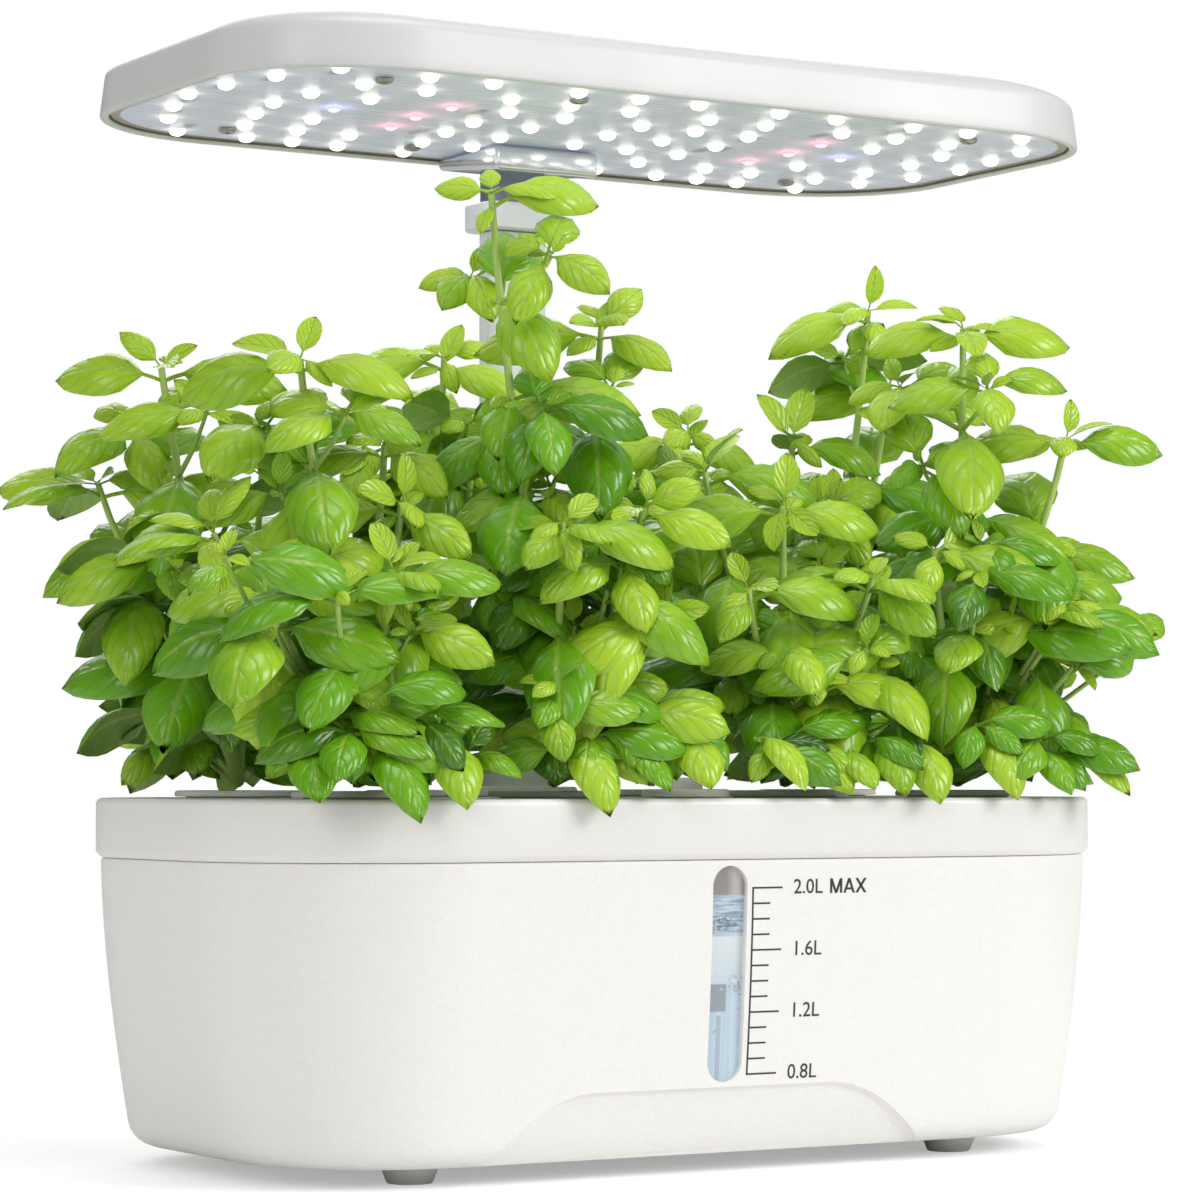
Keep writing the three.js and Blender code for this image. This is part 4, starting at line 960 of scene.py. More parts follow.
for node in ("foot_front_left", "foot_front_right", "foot_rear_left", "foot_rear_right"):
    low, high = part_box(node)
    radius = (high.x - low.x) / 2
    top = TANK_BASE - SEAT_GAP
    middle = ((low.x + high.x) / 2, (low.y + high.y) / 2)
    profile = [
        (0.4 * radius, low.z + 0.5 * MM), (0.46 * radius, low.z), (radius * 0.76, low.z),
        (radius * FOOT_SHARE[0], low.z + 0.3 * MM), (radius * FOOT_SHARE[1], top * 0.55),
        (radius * FOOT_SHARE[2], top - 0.5 * MM), (radius * 0.985, top - 0.1 * MM), (radius * 0.96, top),
        (FOOT_PEG, top), (FOOT_PEG, high.z),
    ]
    foot = shown(node + "_pad", lathe(node, profile, middle))
    dressed(foot, foot_finish, "tank", [node])

# %% Finishes of the hidden parts
def plain(name, dark, pale, roughness, metal=0.0, scale=220.0, relief=0.03 * MM):
    """A simple finish: two tones on noise, with a fine relief."""
    finish = Finish(name, metallic=metal, roughness=roughness)
    grain = finish.noise(scale, 4.0, 0.6)
    finish.tones(finish.spread(grain, 0.3, 0.7), dark, pale)
    finish.bump(grain, relief)
    return finish


coated(plain("grey pump plastic", srgb(126, 130, 136), srgb(142, 146, 152), 0.5), "pump_body", "pump_cover")
rotor_finish = plain("white rotor plastic", srgb(206, 208, 210), srgb(222, 224, 226), 0.4)
coated(rotor_finish, "pump_rotor", "pump_nozzle")
cup_finish = plain("milky suction cup", srgb(206, 212, 214), srgb(226, 230, 231), 0.3)
coated(cup_finish, "suction_cup_1", "suction_cup_2", "suction_cup_3", "suction_cup_4")
coated(plain("green circuit board", srgb(34, 92, 58), srgb(48, 116, 74), 0.5), "driver_board")
print("hidden parts finished")

# %% [markdown]
# ## Cap, mast and socket
#
# A cap with a finger tab closes the filling port. Behind the middle of the deck stands the mast: a
# socket, a fixed outer tube and an inner tube that slides in it. The tubes are one rounded profile
# at several sizes, so one ring function makes them all.

# %% The filling cap
cap_low, cap_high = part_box("fill_cap")
cap_seat = LID_TOP + SEAT_GAP
CAP_RADIUS = 11.5 * MM
CAP_PLUG = 8.6 * MM
CAP_TOP = cap_seat + 2 * MM
cap_profile = [
    (7.0 * MM, cap_seat), (7.0 * MM, cap_low.z), (CAP_PLUG - 0.3 * MM, cap_low.z),
    (CAP_PLUG, cap_low.z + 0.4 * MM), (CAP_PLUG, cap_seat), (CAP_RADIUS - 0.2 * MM, cap_seat),
    (CAP_RADIUS, cap_seat + 0.3 * MM), (CAP_RADIUS, CAP_TOP - 0.7 * MM),
    (CAP_RADIUS - 0.25 * MM, CAP_TOP - 0.2 * MM), (CAP_RADIUS - 0.8 * MM, CAP_TOP),
    (CAP_RADIUS - 1.6 * MM, CAP_TOP), (CAP_RADIUS - 2.0 * MM, CAP_TOP - 0.4 * MM),
]
cap = shown("filling_cap", lathe("filling_cap", cap_profile, (0, PORT_Y), 64))
dressed(cap, lid_finish, "cap", ["fill_cap"])


def block(name, low, high):
    """A box between two corners."""
    corners = [(low[0], low[1]), (high[0], low[1]), (high[0], high[1]), (low[0], high[1])]
    return loft(name, [np.array([(x, y, z) for x, y in corners]) for z in (low[2], high[2])])


tab_half = (5 * MM, 1 * MM)
tab_low = (-tab_half[0], PORT_Y - tab_half[1], CAP_TOP - 0.8 * MM)
tab_mesh = block("cap_tab", tab_low, (tab_half[0], PORT_Y + tab_half[1], cap_high.z))
tab = rounded(shown("cap_tab", tab_mesh), 0.7 * MM, 4)
dressed(tab, lid_finish, "cap", (), sharp=50)

# %% The mast's socket
SOCKET_BASE = LID_TOP + SEAT_GAP
SOCKET_HALF = (16.5 * MM, 12 * MM)
SOCKET_CORNER = (5 * MM, 5 * MM)
SLEEVE = 2.7 * MM
socket_low, socket_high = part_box("mast_socket")
sleeve_top = socket_high.z


def socket_ring(inset, z):
    return drawn_in(SOCKET_HALF, SOCKET_CORNER, inset, z, (0, MAST_Y))


socket_rings = [
    mast_ring(2.0 * MM, socket_low.z), mast_ring(2.4 * MM, socket_low.z + 0.4 * MM),
    mast_ring(2.4 * MM, SOCKET_BASE), socket_ring(0.2 * MM, SOCKET_BASE),
    socket_ring(0, SOCKET_BASE + 0.3 * MM), socket_ring(0, SOCKET_BASE + 1.5 * MM),
    socket_ring(0.3 * MM, SOCKET_BASE + 2.1 * MM), socket_ring(0.9 * MM, SOCKET_BASE + 2.4 * MM),
    mast_ring(SLEEVE + 0.9 * MM, SOCKET_BASE + 2.4 * MM),
    mast_ring(SLEEVE + 0.3 * MM, SOCKET_BASE + 2.8 * MM),
    mast_ring(SLEEVE, SOCKET_BASE + 3.6 * MM), mast_ring(SLEEVE, sleeve_top - 0.8 * MM),
    mast_ring(SLEEVE - 0.3 * MM, sleeve_top - 0.2 * MM), mast_ring(SLEEVE - 0.8 * MM, sleeve_top),
    mast_ring(0.6 * MM, sleeve_top), mast_ring(0.3 * MM, sleeve_top - 0.4 * MM),
    mast_ring(0.3 * MM, socket_low.z + 2 * MM),
]
socket = shown("mast_foot", loft("mast_foot", socket_rings))
dressed(socket, lid_finish, "lid", ["mast_socket"])
housing_top = (6 * MM, socket_high.y, SOCKET_BASE + 10 * MM)
housing_mesh = block("inlet_housing", (-6 * MM, MAST_Y + 8.4 * MM, SOCKET_BASE), housing_top)
housing = rounded(shown("inlet_housing", housing_mesh), 1.0 * MM, 4)
INLET_Z = SOCKET_BASE + 5 * MM
inlet_low, inlet_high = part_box("dc_inlet")


def along_y(name, profile, x, z, sides=40, closed=False):
    """A turned mesh about an axis along Y. The profile holds (radius, Y) pairs."""
    mesh = lathe(name, profile, (0, 0), sides, closed)
    mesh.transform(Matrix.Translation((x, 0, z)) @ Matrix.Rotation(-math.pi / 2, 4, "X"))
    return outward(mesh)


inlet_hole = along_y("drill", [(3.9 * MM, inlet_low.y), (3.9 * MM, inlet_high.y + 4 * MM)], 0, INLET_Z)
cut(housing, inlet_hole)
dressed(housing, lid_finish, "lid", (), sharp=50)

# %% The power inlet
jack_finish = plain("bright inlet steel", srgb(150, 152, 156), srgb(186, 188, 191), 0.3, 0.9)
jack_profile = [
    (2.4 * MM, inlet_low.y + 1 * MM), (2.4 * MM, inlet_high.y - 0.3 * MM),
    (2.7 * MM, inlet_high.y), (3.3 * MM, inlet_high.y), (3.6 * MM, inlet_high.y - 0.3 * MM),
    (3.6 * MM, inlet_low.y),
]
barrel_mesh = along_y("inlet_barrel", jack_profile, 0, INLET_Z)
dressed(shown("inlet_barrel", barrel_mesh), jack_finish, "lid", ["dc_inlet"])
pin_profile = [
    (0.7 * MM, inlet_low.y + 0.8 * MM), (0.7 * MM, inlet_high.y - 1.4 * MM),
    (0.35 * MM, inlet_high.y - 0.9 * MM),
]
pin_mesh = along_y("inlet_pin", pin_profile, 0, INLET_Z, 16)
dressed(shown("inlet_pin", pin_mesh), jack_finish, "lid", ())

# %% The two tubes of the mast
outer_low, outer_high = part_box("mast_lower")
inner_low, inner_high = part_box("mast_upper")
MAST_WALL = 1.5 * MM
INNER_INSET = 1.9 * MM
INNER_WALL = 1.2 * MM
GROOVE_Y = MAST_Y - 2.2 * MM
GROOVE_HALF = 0.22 * MM
GROOVE_DEPTH = 0.45 * MM
mast_finish = moulded("satin mast plastic", srgb(246, 245, 252), 0.01 * MM, 0.3, 1200.0)


def tube(name, grow, wall, low, high):
    """An upright tube with the mast's profile and softened ends."""
    soft = 0.4 * MM
    rings = [
        mast_ring(grow, low), mast_ring(grow, high - soft), mast_ring(grow - soft, high),
        mast_ring(grow - wall, high), mast_ring(grow - wall, low),
    ]
    return shown(name, loft(name, rings, closed=True))


outer_tube = tube("mast_outer_tube", 0, MAST_WALL, outer_low.z, outer_high.z)
for side in (-1, 1):
    edge = side * MAST_HALF[0]
    low_corner = (edge - GROOVE_DEPTH, GROOVE_Y - GROOVE_HALF, outer_low.z - 1 * MM)
    high_corner = (edge + GROOVE_DEPTH, GROOVE_Y + GROOVE_HALF, outer_high.z + 1 * MM)
    cut(outer_tube, block("knife", low_corner, high_corner))
dressed(outer_tube, mast_finish, "lid", ["mast_lower"])
inner_tube = tube("mast_inner_tube", -INNER_INSET, INNER_WALL, inner_low.z, inner_high.z)
dressed(inner_tube, mast_finish, "lamp", ["mast_upper"])
print("mast", round((outer_high.z - outer_low.z) / MM, 1), "mm of outer tube")

# %% [markdown]
# ## The lamp head
#
# A collar sits on the outer tube, a short neck rises from it, and a wedge-shaped hood carries the
# lamp. They are one casting, made here of three rounded blocks that run into each other: the collar
# in the mast's satin finish, the neck in a darker satin and the hood in satin silver. The hood is
# the glossy one: its bevels are wide so that they catch thin bright lines.

# %% Collar, neck and hood
head_low, head_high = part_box("lamp_head")
COLLAR_HALF = (12.25 * MM, 8.5 * MM)
NECK_HALF = (9 * MM, 5.6 * MM)
COLLAR_TOP = head_low.z + 7.8 * MM
HOOD_FRONT_Z = 269.2 * MM
HOOD_BACK_Z = 273.2 * MM
HOOD_TOP = head_high.z
HOOD_HALF_X = 16.5 * MM


def head_ring(half, inset, z):
    return drawn_in(half, MAST_CORNER, inset, z, (0, MAST_Y))


silver = Finish("satin silver casting", metallic=0.75, roughness=0.2)
silver_noise = silver.noise(60.0, 3.0)
silver.tones(silver_noise, srgb(226, 228, 233), srgb(240, 242, 246))
silver.paint(Roughness=silver.spread(silver_noise, 0.3, 0.7, 0.12, 0.2))
silver.bump(silver.noise(900.0, 2.0), 0.004 * MM)
collar_profile = [
    (1.2, 0.0), (0.5, 0.15), (0.12, 0.5), (0.0, 1.1), (0.0, 6.9), (0.12, 7.4), (0.5, 7.7), (1.0, 7.8),
]
collar_rings = [head_ring(COLLAR_HALF, i * MM, head_low.z + z * MM) for i, z in collar_profile]
collar = shown("lamp_collar", loft("lamp_collar", collar_rings))
sleeve_bore = loft("drill", [mast_ring(-INNER_INSET + 0.3 * MM, z) for z in (0.25, COLLAR_TOP - 0.6 * MM)])
cut(collar, sleeve_bore)
dressed(collar, mast_finish, "lamp", ["lamp_head"])
neck_finish = plain("dark satin neck", srgb(128, 134, 152), srgb(146, 152, 170), 0.3, 0.5, 60.0, 0.005 * MM)
neck_span = (COLLAR_TOP - 1 * MM, HOOD_TOP - 1.5 * MM)
neck_mesh = loft("lamp_neck", [head_ring(NECK_HALF, 0, z) for z in neck_span])
dressed(shown("lamp_neck", neck_mesh), neck_finish, "lamp", ())


def wedge(name, half_x, front, back, front_z, back_z, top):
    """The hood's block: flat on top, and lower at its front than at its back."""
    section = [(front, front_z), (back, back_z), (back, top), (front, top)]
    return loft(name, [np.array([(x, y, z) for y, z in section]) for x in (-half_x, half_x)])


hood_mesh = wedge("lamp_hood", HOOD_HALF_X, head_low.y, head_high.y, HOOD_FRONT_Z, HOOD_BACK_Z, HOOD_TOP)
hood = rounded(shown("lamp_hood", hood_mesh), 1.3 * MM, 5)
dressed(hood, silver, "lamp", (), sharp=60)
print("lamp head", [round(v / MM, 1) for v in (head_low.z, head_high.z)])

# %% [markdown]
# ## The lamp shade
#
# The shade is an upturned tray: a low dome, a soft edge, and a skirt that ends in a thin rounded
# lip. The construction model has a flat top, and the dome stays inside it. One loft makes it in a
# single closed surface, from the ceiling inside, down the inner wall, round the lip, up the outer
# wall and over the top. The inner wall above the lip is painted brown-grey as painted shade, which
# one sees as a thin brown line round the lit board.

# %% The shade's shell
shade_low, shade_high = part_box("lamp_shade")
SHADE_HALF = (shade_high.x, (shade_high.y - shade_low.y) / 2)
SHADE_Y = (shade_high.y + shade_low.y) / 2
SHADE_CORNER = (44.1 * MM, 39 * MM)
SHADE_TOP = shade_high.z
SKIRT_TOP = shade_low.z + 10.4 * MM
DOME_RUN = 37 * MM
DOME_RISE = SHADE_TOP - SKIRT_TOP
DRAFT = 1.2 * MM
SHADE_WALL = 2.4 * MM
LIP_ROUND = 0.8 * MM
CEILING = SHADE_TOP - 2.6 * MM
SHADE_STEPS = 30


def shade_ring(inset, z):
    return drawn_in(SHADE_HALF, SHADE_CORNER, inset, z, (0, SHADE_Y), SHADE_STEPS)


def dome_height(inset):
    """How high the shade's top lies at a distance from its skirt."""
    return SKIRT_TOP + DOME_RISE * math.sqrt(1 - (1 - inset / DOME_RUN) ** 2)


CEILING_INSETS = (28 * MM, 20 * MM, 13 * MM, 8 * MM)
STRAIGHT_WALL = 3.4 * MM
LIP_GAP = 0.3 * MM
LIP_STEPS, DOME_STEPS = 5, 16
SKIRT_SHARES = (0.33, 0.66, 1.0)
lip_z = shade_low.z + LIP_ROUND
shade_rings = [shade_ring(DRAFT + DOME_RUN, CEILING)]
for inset in CEILING_INSETS:
    shade_rings.append(shade_ring(DRAFT + inset, dome_height(inset) - (SHADE_TOP - CEILING)))
shade_rings.append(shade_ring(SHADE_WALL + DRAFT, SKIRT_TOP))
shade_rings.append(shade_ring(SHADE_WALL, shade_low.z + STRAIGHT_WALL))
shade_rings.append(shade_ring(SHADE_WALL, lip_z + LIP_GAP))
for turn in quarter_turns(LIP_STEPS):
    inset = SHADE_WALL - LIP_ROUND * (1 - math.cos(turn))
    shade_rings.append(shade_ring(inset, lip_z - LIP_ROUND * math.sin(turn)))
for turn in quarter_turns(LIP_STEPS):
    shade_rings.append(shade_ring(LIP_ROUND * (1 - math.sin(turn)), lip_z - LIP_ROUND * math.cos(turn)))
for share in SKIRT_SHARES:
    shade_rings.append(shade_ring(DRAFT * share, lip_z + share * (SKIRT_TOP - lip_z)))
for turn in quarter_turns(DOME_STEPS)[1:]:
    inset = DOME_RUN * (1 - math.cos(turn))
    shade_rings.append(shade_ring(DRAFT + inset, dome_height(inset)))
shade = shown("lamp_shade_tray", loft("lamp_shade_tray", shade_rings))
button_low, button_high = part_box("mode_button")
BUTTON_RADIUS = 6 * MM
button_span = (CEILING - 4 * MM, SHADE_TOP + 4 * MM)
cut(shade, lathe("drill", [(BUTTON_RADIUS + SEAT_GAP, z) for z in button_span], (0, SHADE_Y)))
shade_finish = moulded("satin lamp plastic", srgb(224, 224, 222), 0.008 * MM, 0.34, 1300.0)
dressed(shade, shade_finish, "lamp", ["lamp_shade"], sharp=26)
# The inner wall just above the lip gets a second, brown-grey material: painted shade.
painted_shade_on_inner_wall = plain("brown-grey painted shade on inner wall", srgb(126, 118, 108), srgb(142, 133, 122), 0.5)
shade.data.materials.append(painted_shade_on_inner_wall.material)
for face in shade.data.polygons:
    middle = face.center
    towards_centre = face.normal.x * middle.x + face.normal.y * (middle.y - SHADE_Y) < -1e-6
    if towards_centre and lip_z < middle.z < shade_low.z + 4 * MM and abs(face.normal.z) < 0.5:
        face.material_index = 1
print("shade", len(shade.data.polygons), "faces")

# %% The push button
button_profile = [
    (7.4 * MM, button_low.z), (7.4 * MM, button_low.z + 1 * MM), (BUTTON_RADIUS, button_low.z + 1 * MM),
    (BUTTON_RADIUS, button_high.z - 0.7 * MM), (BUTTON_RADIUS - 0.2 * MM, button_high.z - 0.2 * MM),
    (BUTTON_RADIUS - 0.7 * MM, button_high.z), (BUTTON_RADIUS - 1.3 * MM, button_high.z - 0.05 * MM),
    (BUTTON_RADIUS - 3.5 * MM, button_high.z - 0.4 * MM),
]
button = shown("push_button", lathe("push_button", button_profile, (0, SHADE_Y), 56))
button_finish = moulded("satin button plastic", srgb(222, 222, 226), 0.006 * MM, 0.32, 1300.0)
dressed(button, button_finish, "button", ["mode_button"])

# %% [markdown]
# ## The board of lamps
#
# The underside is a brushed aluminium board with some eighty small lamps in seven rows, most of
# them warm white, a few pink and two blue. Each lamp's soft glow on the metal round it is painted
# light: emission in the board's finish, over a faint even glow painted on the whole board. The
# board is a fine grid, and the glow is worked out at each of its points and kept as a colour
# attribute, because a sum over eighty lamps would be slow as nodes.

# %% Where the lamps are
BOARD_FACE = shade_low.z + 1.3 * MM
BOARD_INSET = 2.8 * MM
LED_ROWS = (
    (11, 0.785), (12, 0.853), (13, 0.893), (13, 0.91), (13, 0.88), (13, 0.83), (13, 0.748),
)
LED_MARGIN = 12.2 * MM
LED_PITCH = (2 * SHADE_HALF[1] - 2 * LED_MARGIN) / (len(LED_ROWS) - 1)
LED_SIZE = 2.8 * MM
LED_SCATTER = 3.4 * MM
SCREW_X = (-91 * MM, -34 * MM, 91 * MM)
SCREW_Y = 45 * MM
SCREW_HEAD = 2.5 * MM
WARM, PINK, BLUE = (1.0, 0.97, 0.84), (1.0, 0.30, 0.52), (0.42, 0.45, 1.0)
PINK_ROWS, PINK_PLACES = (2, 3, 4), (3, 9)
BLUE_ROW, BLUE_PLACES = 3, (2, 10)
ROW_STRIDE, SPREAD_STEP = 13, 0.618

screws = [(x, SHADE_Y + side * SCREW_Y) for side in (-1, 1) for x in SCREW_X]
leds = []
for row, (count, share) in enumerate(LED_ROWS):
    y = SHADE_Y + (row - (len(LED_ROWS) - 1) / 2) * LED_PITCH
    for i in range(count):
        x = (2 * i / (count - 1) - 1) * share * SHADE_HALF[0]
        x += LED_SCATTER * (2 * ((row * ROW_STRIDE + i) * SPREAD_STEP % 1) - 1)
        beside_head = abs(x) > HOOD_HALF_X + LED_SIZE or y < head_low.y - LED_SIZE
        beside_screws = all(math.hypot(x - a, y - b) > SCREW_HEAD + LED_SIZE for a, b in screws)
        if beside_head and beside_screws:
            pink = row in PINK_ROWS and i in PINK_PLACES
            blue = row == BLUE_ROW and i in BLUE_PLACES
            leds.append((x, y, PINK if pink else BLUE if blue else WARM))
print(len(leds), "lamps on the board")

# %% A fine grid with the glow on it
GRID_STEP = 1.15 * MM
GRID_COLUMNS = 236
EDGE_ROWS = (0.0, 0.02, 0.08, 0.2, 0.4, 0.7)
GLOW_CORE = 2.6 * MM
GLOW_WIDE = 6.0 * MM
# A faint even glow over the whole board: painted light.
BOARD_GLOW = (0.05, 0.055, 0.07)
WARM_POWER, COLOUR_POWER = (0.8, 0.1), (0.95, 0.4)
SPOT_HALF = (2.1, 5.0)
# Width of the board's margin that is painted brown-grey: painted shade.
SHADED_MARGIN_WIDTH = 2.6 * MM
DARK_SPOTS = (
    (60, -56), (-105, -46), (67, -43), (-115, -29), (53, -27), (-121, -13), (40, -11), (-46, -11),
    (43, 8), (-120, 11), (39, 12), (-44, 24), (-115, 31), (-102, 50),
)
board_half = (SHADE_HALF[0] - BOARD_INSET, SHADE_HALF[1] - BOARD_INSET)
board_corner = (SHADE_CORNER[0] - BOARD_INSET, SHADE_CORNER[1] - BOARD_INSET)


def half_width(y, inset=0.0):
    """Half the board's length at a distance from its middle line."""
    corner_x, corner_y = board_corner[0] - inset, board_corner[1] - inset
    into_corner = max(abs(y) - (board_half[1] - board_corner[1]), 0) / corner_y
    curve = math.sqrt(max(1 - into_corner**2, 0))
    return board_half[0] - inset - corner_x * (1 - curve)


edge_rows = [board_half[1] - share * GRID_STEP for share in EDGE_ROWS]
inner_rows = list(np.arange(0, board_half[1] - GRID_STEP, GRID_STEP))
upper_rows = sorted(set(inner_rows + edge_rows))
board_rows = [-y for y in upper_rows[::-1] if y > 0] + upper_rows
steps = np.linspace(-1, 1, GRID_COLUMNS + 1)
grid = np.array([[(half_width(y) * s, y + SHADE_Y, BOARD_FACE) for s in steps] for y in board_rows])
points = grid.reshape(-1, 3)
row_size = GRID_COLUMNS + 1
faces = []
for r in range(len(board_rows) - 1):
    for c in range(GRID_COLUMNS):
        a = r * row_size + c
        faces.append((a, a + row_size, a + row_size + 1, a + 1))
first, last = 0, (len(board_rows) - 1) * row_size
rim = list(range(first, first + row_size))
rim += [r * row_size + GRID_COLUMNS for r in range(1, len(board_rows))]
rim += list(range(last + GRID_COLUMNS - 1, last - 1, -1))
rim += [r * row_size for r in range(len(board_rows) - 2, 0, -1)]
BOARD_THICKNESS = 1.6 * MM
top_start = len(points)
top_points = points[rim] + (0, 0, BOARD_THICKNESS)
for i, low_point in enumerate(rim):
    j = (i + 1) % len(rim)
    faces.append((low_point, rim[j], top_start + j, top_start + i))
faces.append(tuple(range(top_start, top_start + len(rim))))
board_mesh = bpy.data.meshes.new("lamp_board")
board_mesh.from_pydata(np.concatenate([points, top_points]).tolist(), [], faces)
print("board", len(faces), "faces")

# %% Glow and dark spots as attributes
places = np.array([v.co for v in board_mesh.vertices])[:, :2]
glow = np.zeros((len(places), 4))
glow[:, :3] = BOARD_GLOW
for x, y, colour in leds:
    distance = np.hypot(places[:, 0] - x, places[:, 1] - y)
    near, wide = [np.exp(-((distance / reach) ** 2)) for reach in (GLOW_CORE, GLOW_WIDE)]
    power = WARM_POWER if colour == WARM else COLOUR_POWER
    power = power[0] * near + power[1] * wide
    glow[:, :3] += power[:, None] * np.array(colour)
glow[:, 3] = 1.0
dark = np.zeros(len(places))
for x, y in DARK_SPOTS:
    distance = np.hypot((places[:, 0] - x * MM) / SPOT_HALF[0], (places[:, 1] - y * MM) / SPOT_HALF[1])
    dark = np.maximum(dark, np.exp(-((distance / MM) ** 4)))
# The margin round the board's edge is painted brown-grey as painted shade, and gets no glow.
bezel = []
for x, y in places:
    past_end = abs(x) - half_width(y - SHADE_Y, SHADED_MARGIN_WIDTH)
    past_side = abs(y - SHADE_Y) - (board_half[1] - SHADED_MARGIN_WIDTH)
    bezel.append(max(past_end, past_side) / MM)
glow[np.array(bezel) > 0, :3] = 0.0
marked(board_mesh, bezel=bezel, dark_spot=dark)
glow_layer = board_mesh.attributes.new("glow", "FLOAT_COLOR", "POINT")
glow_layer.data.foreach_set("color", np.clip(glow, 0, 1).ravel())
outward(board_mesh)

brushed = Finish("brushed aluminium", roughness=0.3)
streak = brushed.noise(1.0, 4.0, 0.65, brushed.stretched((14.0, 1500.0, 200.0)))
long_streak = brushed.noise(1.0, 2.0, 0.5, brushed.stretched((5.0, 420.0, 200.0)))
metal = brushed.mixed(brushed.spread(streak, 0.3, 0.7), srgb(206, 208, 228), srgb(224, 227, 242))
metal = brushed.mixed(brushed.spread(long_streak, 0.4, 0.6) * 0.35, metal, srgb(224, 229, 237))
dark_spot = brushed.attribute("dark_spot")
metal = brushed.mixed(dark_spot * 0.9, metal, srgb(110, 104, 98))
# Painted shade: the brown-grey margin round the board's edge.
in_bezel = brushed.spread(brushed.attribute("bezel"), -0.2, 0.2)
metal = brushed.mixed(in_bezel, metal, srgb(172, 160, 148))
brushed.paint(Base_Color=metal, Metallic=0.3 - dark_spot * 0.3)
# Painted light: the board's emission, in pools round each lamp and faintly all over.
brushed.paint(Emission_Color=brushed.attribute("glow", "Color"), Emission_Strength=1.0)
brushed.paint(Roughness=brushed.spread(streak, 0.25, 0.75, 0.24, 0.4))
brushed.bump(streak, 0.012 * MM)
dressed(shown("lamp_board", board_mesh), brushed, "lamp", ["led_board"])

# %% [markdown]
# ## Copies by Geometry Nodes
#
# Lamps, screws, stems and leaves repeat by the dozen. One small class builds a Geometry Nodes
# tree, and one function runs it: points go in, each carrying its turn and size as attributes, and
# one plain mesh comes out.

# %% A tree of Geometry Nodes
class Grower:
    """A Geometry Nodes tree with named inputs."""

    def __init__(self, name, **inputs):
        self.group = bpy.data.node_groups.new(name, "GeometryNodeTree")
        face = self.group.interface
        face.new_socket("Geometry", in_out="INPUT", socket_type="NodeSocketGeometry")
        for label, kind in inputs.items():
            face.new_socket(label.replace("_", " "), in_out="INPUT", socket_type="NodeSocket" + kind)
        face.new_socket("Geometry", in_out="OUTPUT", socket_type="NodeSocketGeometry")
        self.start = self.group.nodes.new("NodeGroupInput")

    def add(self, kind, settings=None, inputs=None):
        node = self.group.nodes.new(kind)
        for key, value in (settings or {}).items():
            setattr(node, key, value)
        for key, value in (inputs or {}).items():
            if isinstance(value, bpy.types.NodeSocket):
                self.group.links.new(value, node.inputs[key])
            else:
                node.inputs[key].default_value = value
        return node

    def named(self, name, kind):
        node = self.add("GeometryNodeInputNamedAttribute", {"data_type": kind}, {"Name": name})
        return node.outputs["Attribute"]

    def given(self, name):
        return self.start.outputs[name]

    def end(self, geometry):
        real = self.add("GeometryNodeRealizeInstances", None, {"Geometry": geometry})
        values = {"Geometry": real.outputs[0], "Material": self.given("Finish")}
        coat = self.add("GeometryNodeSetMaterial", None, values)
        out = self.group.nodes.new("NodeGroupOutput")
        self.group.links.new(coat.outputs[0], out.inputs[0])

    def run(self, thing, **values):
        """Puts the tree on an object, sets its inputs by their identifiers and applies it."""
        grow = thing.modifiers.new("grow", "NODES")
        grow.node_group = self.group
        for socket in self.group.interface.items_tree:
            key = socket.name.replace(" ", "_")
            if socket.in_out == "INPUT" and key in values:
                grow[socket.identifier] = values[key]
        return applied(thing)


def point_cloud(name, places, **attributes):
    """A mesh of loose points with attributes: numbers, whole numbers or triples."""
    mesh = bpy.data.meshes.new(name)
    mesh.from_pydata([tuple(p) for p in places], [], [])
    for label, values in attributes.items():
        values = np.array(values)
        if values.ndim == 2:
            layer = mesh.attributes.new(label, "FLOAT_VECTOR", "POINT")
            layer.data.foreach_set("vector", values.astype(float).ravel())
        else:
            kind = "INT" if values.dtype.kind == "i" else "FLOAT"
            mesh.attributes.new(label, kind, "POINT").data.foreach_set("value", values)
    return shown(name, mesh)


scatter = Grower("copies on points", Shapes="Collection", Size="Float", Finish="Material")
shapes = scatter.add(
    "GeometryNodeCollectionInfo", None,
    {"Collection": scatter.given("Shapes"), "Separate Children": True, "Reset Children": True},
)
turns = scatter.add("FunctionNodeEulerToRotation", None, {0: scatter.named("turn", "FLOAT_VECTOR")})
size_factors = {0: scatter.named("size", "FLOAT"), 1: scatter.given("Size")}
sized = scatter.add("ShaderNodeMath", {"operation": "MULTIPLY"}, size_factors)
copies = scatter.add("GeometryNodeInstanceOnPoints", None, {
    "Points": scatter.given("Geometry"), "Instance": shapes.outputs[0], "Pick Instance": True,
    "Instance Index": scatter.named("form", "INT"), "Rotation": turns.outputs[0], "Scale": sized.outputs[0],
})
scatter.end(copies.outputs[0])


def shape_box(name, meshes):
    """A collection of shapes for the scatter tree, outside the scene."""
    box = bpy.data.collections.new(name)
    for number, mesh in enumerate(meshes):
        box.objects.link(bpy.data.objects.new(f"{name} {number + 1:02d}", mesh))
    return box


def emptied(box):
    for thing in list(box.objects):
        bpy.data.objects.remove(thing)
    bpy.data.collections.remove(box)


# %% Lamps on the board
LENS_RADIUS = 2.3 * MM
LENS_HEIGHT = 1.3 * MM
PACKAGE_HALF = (1.8 * MM, 1.8 * MM)
PACKAGE_HEIGHT = 0.6 * MM
COLOURED_SIZE, COLOURED_LIGHT = 0.78, 0.5


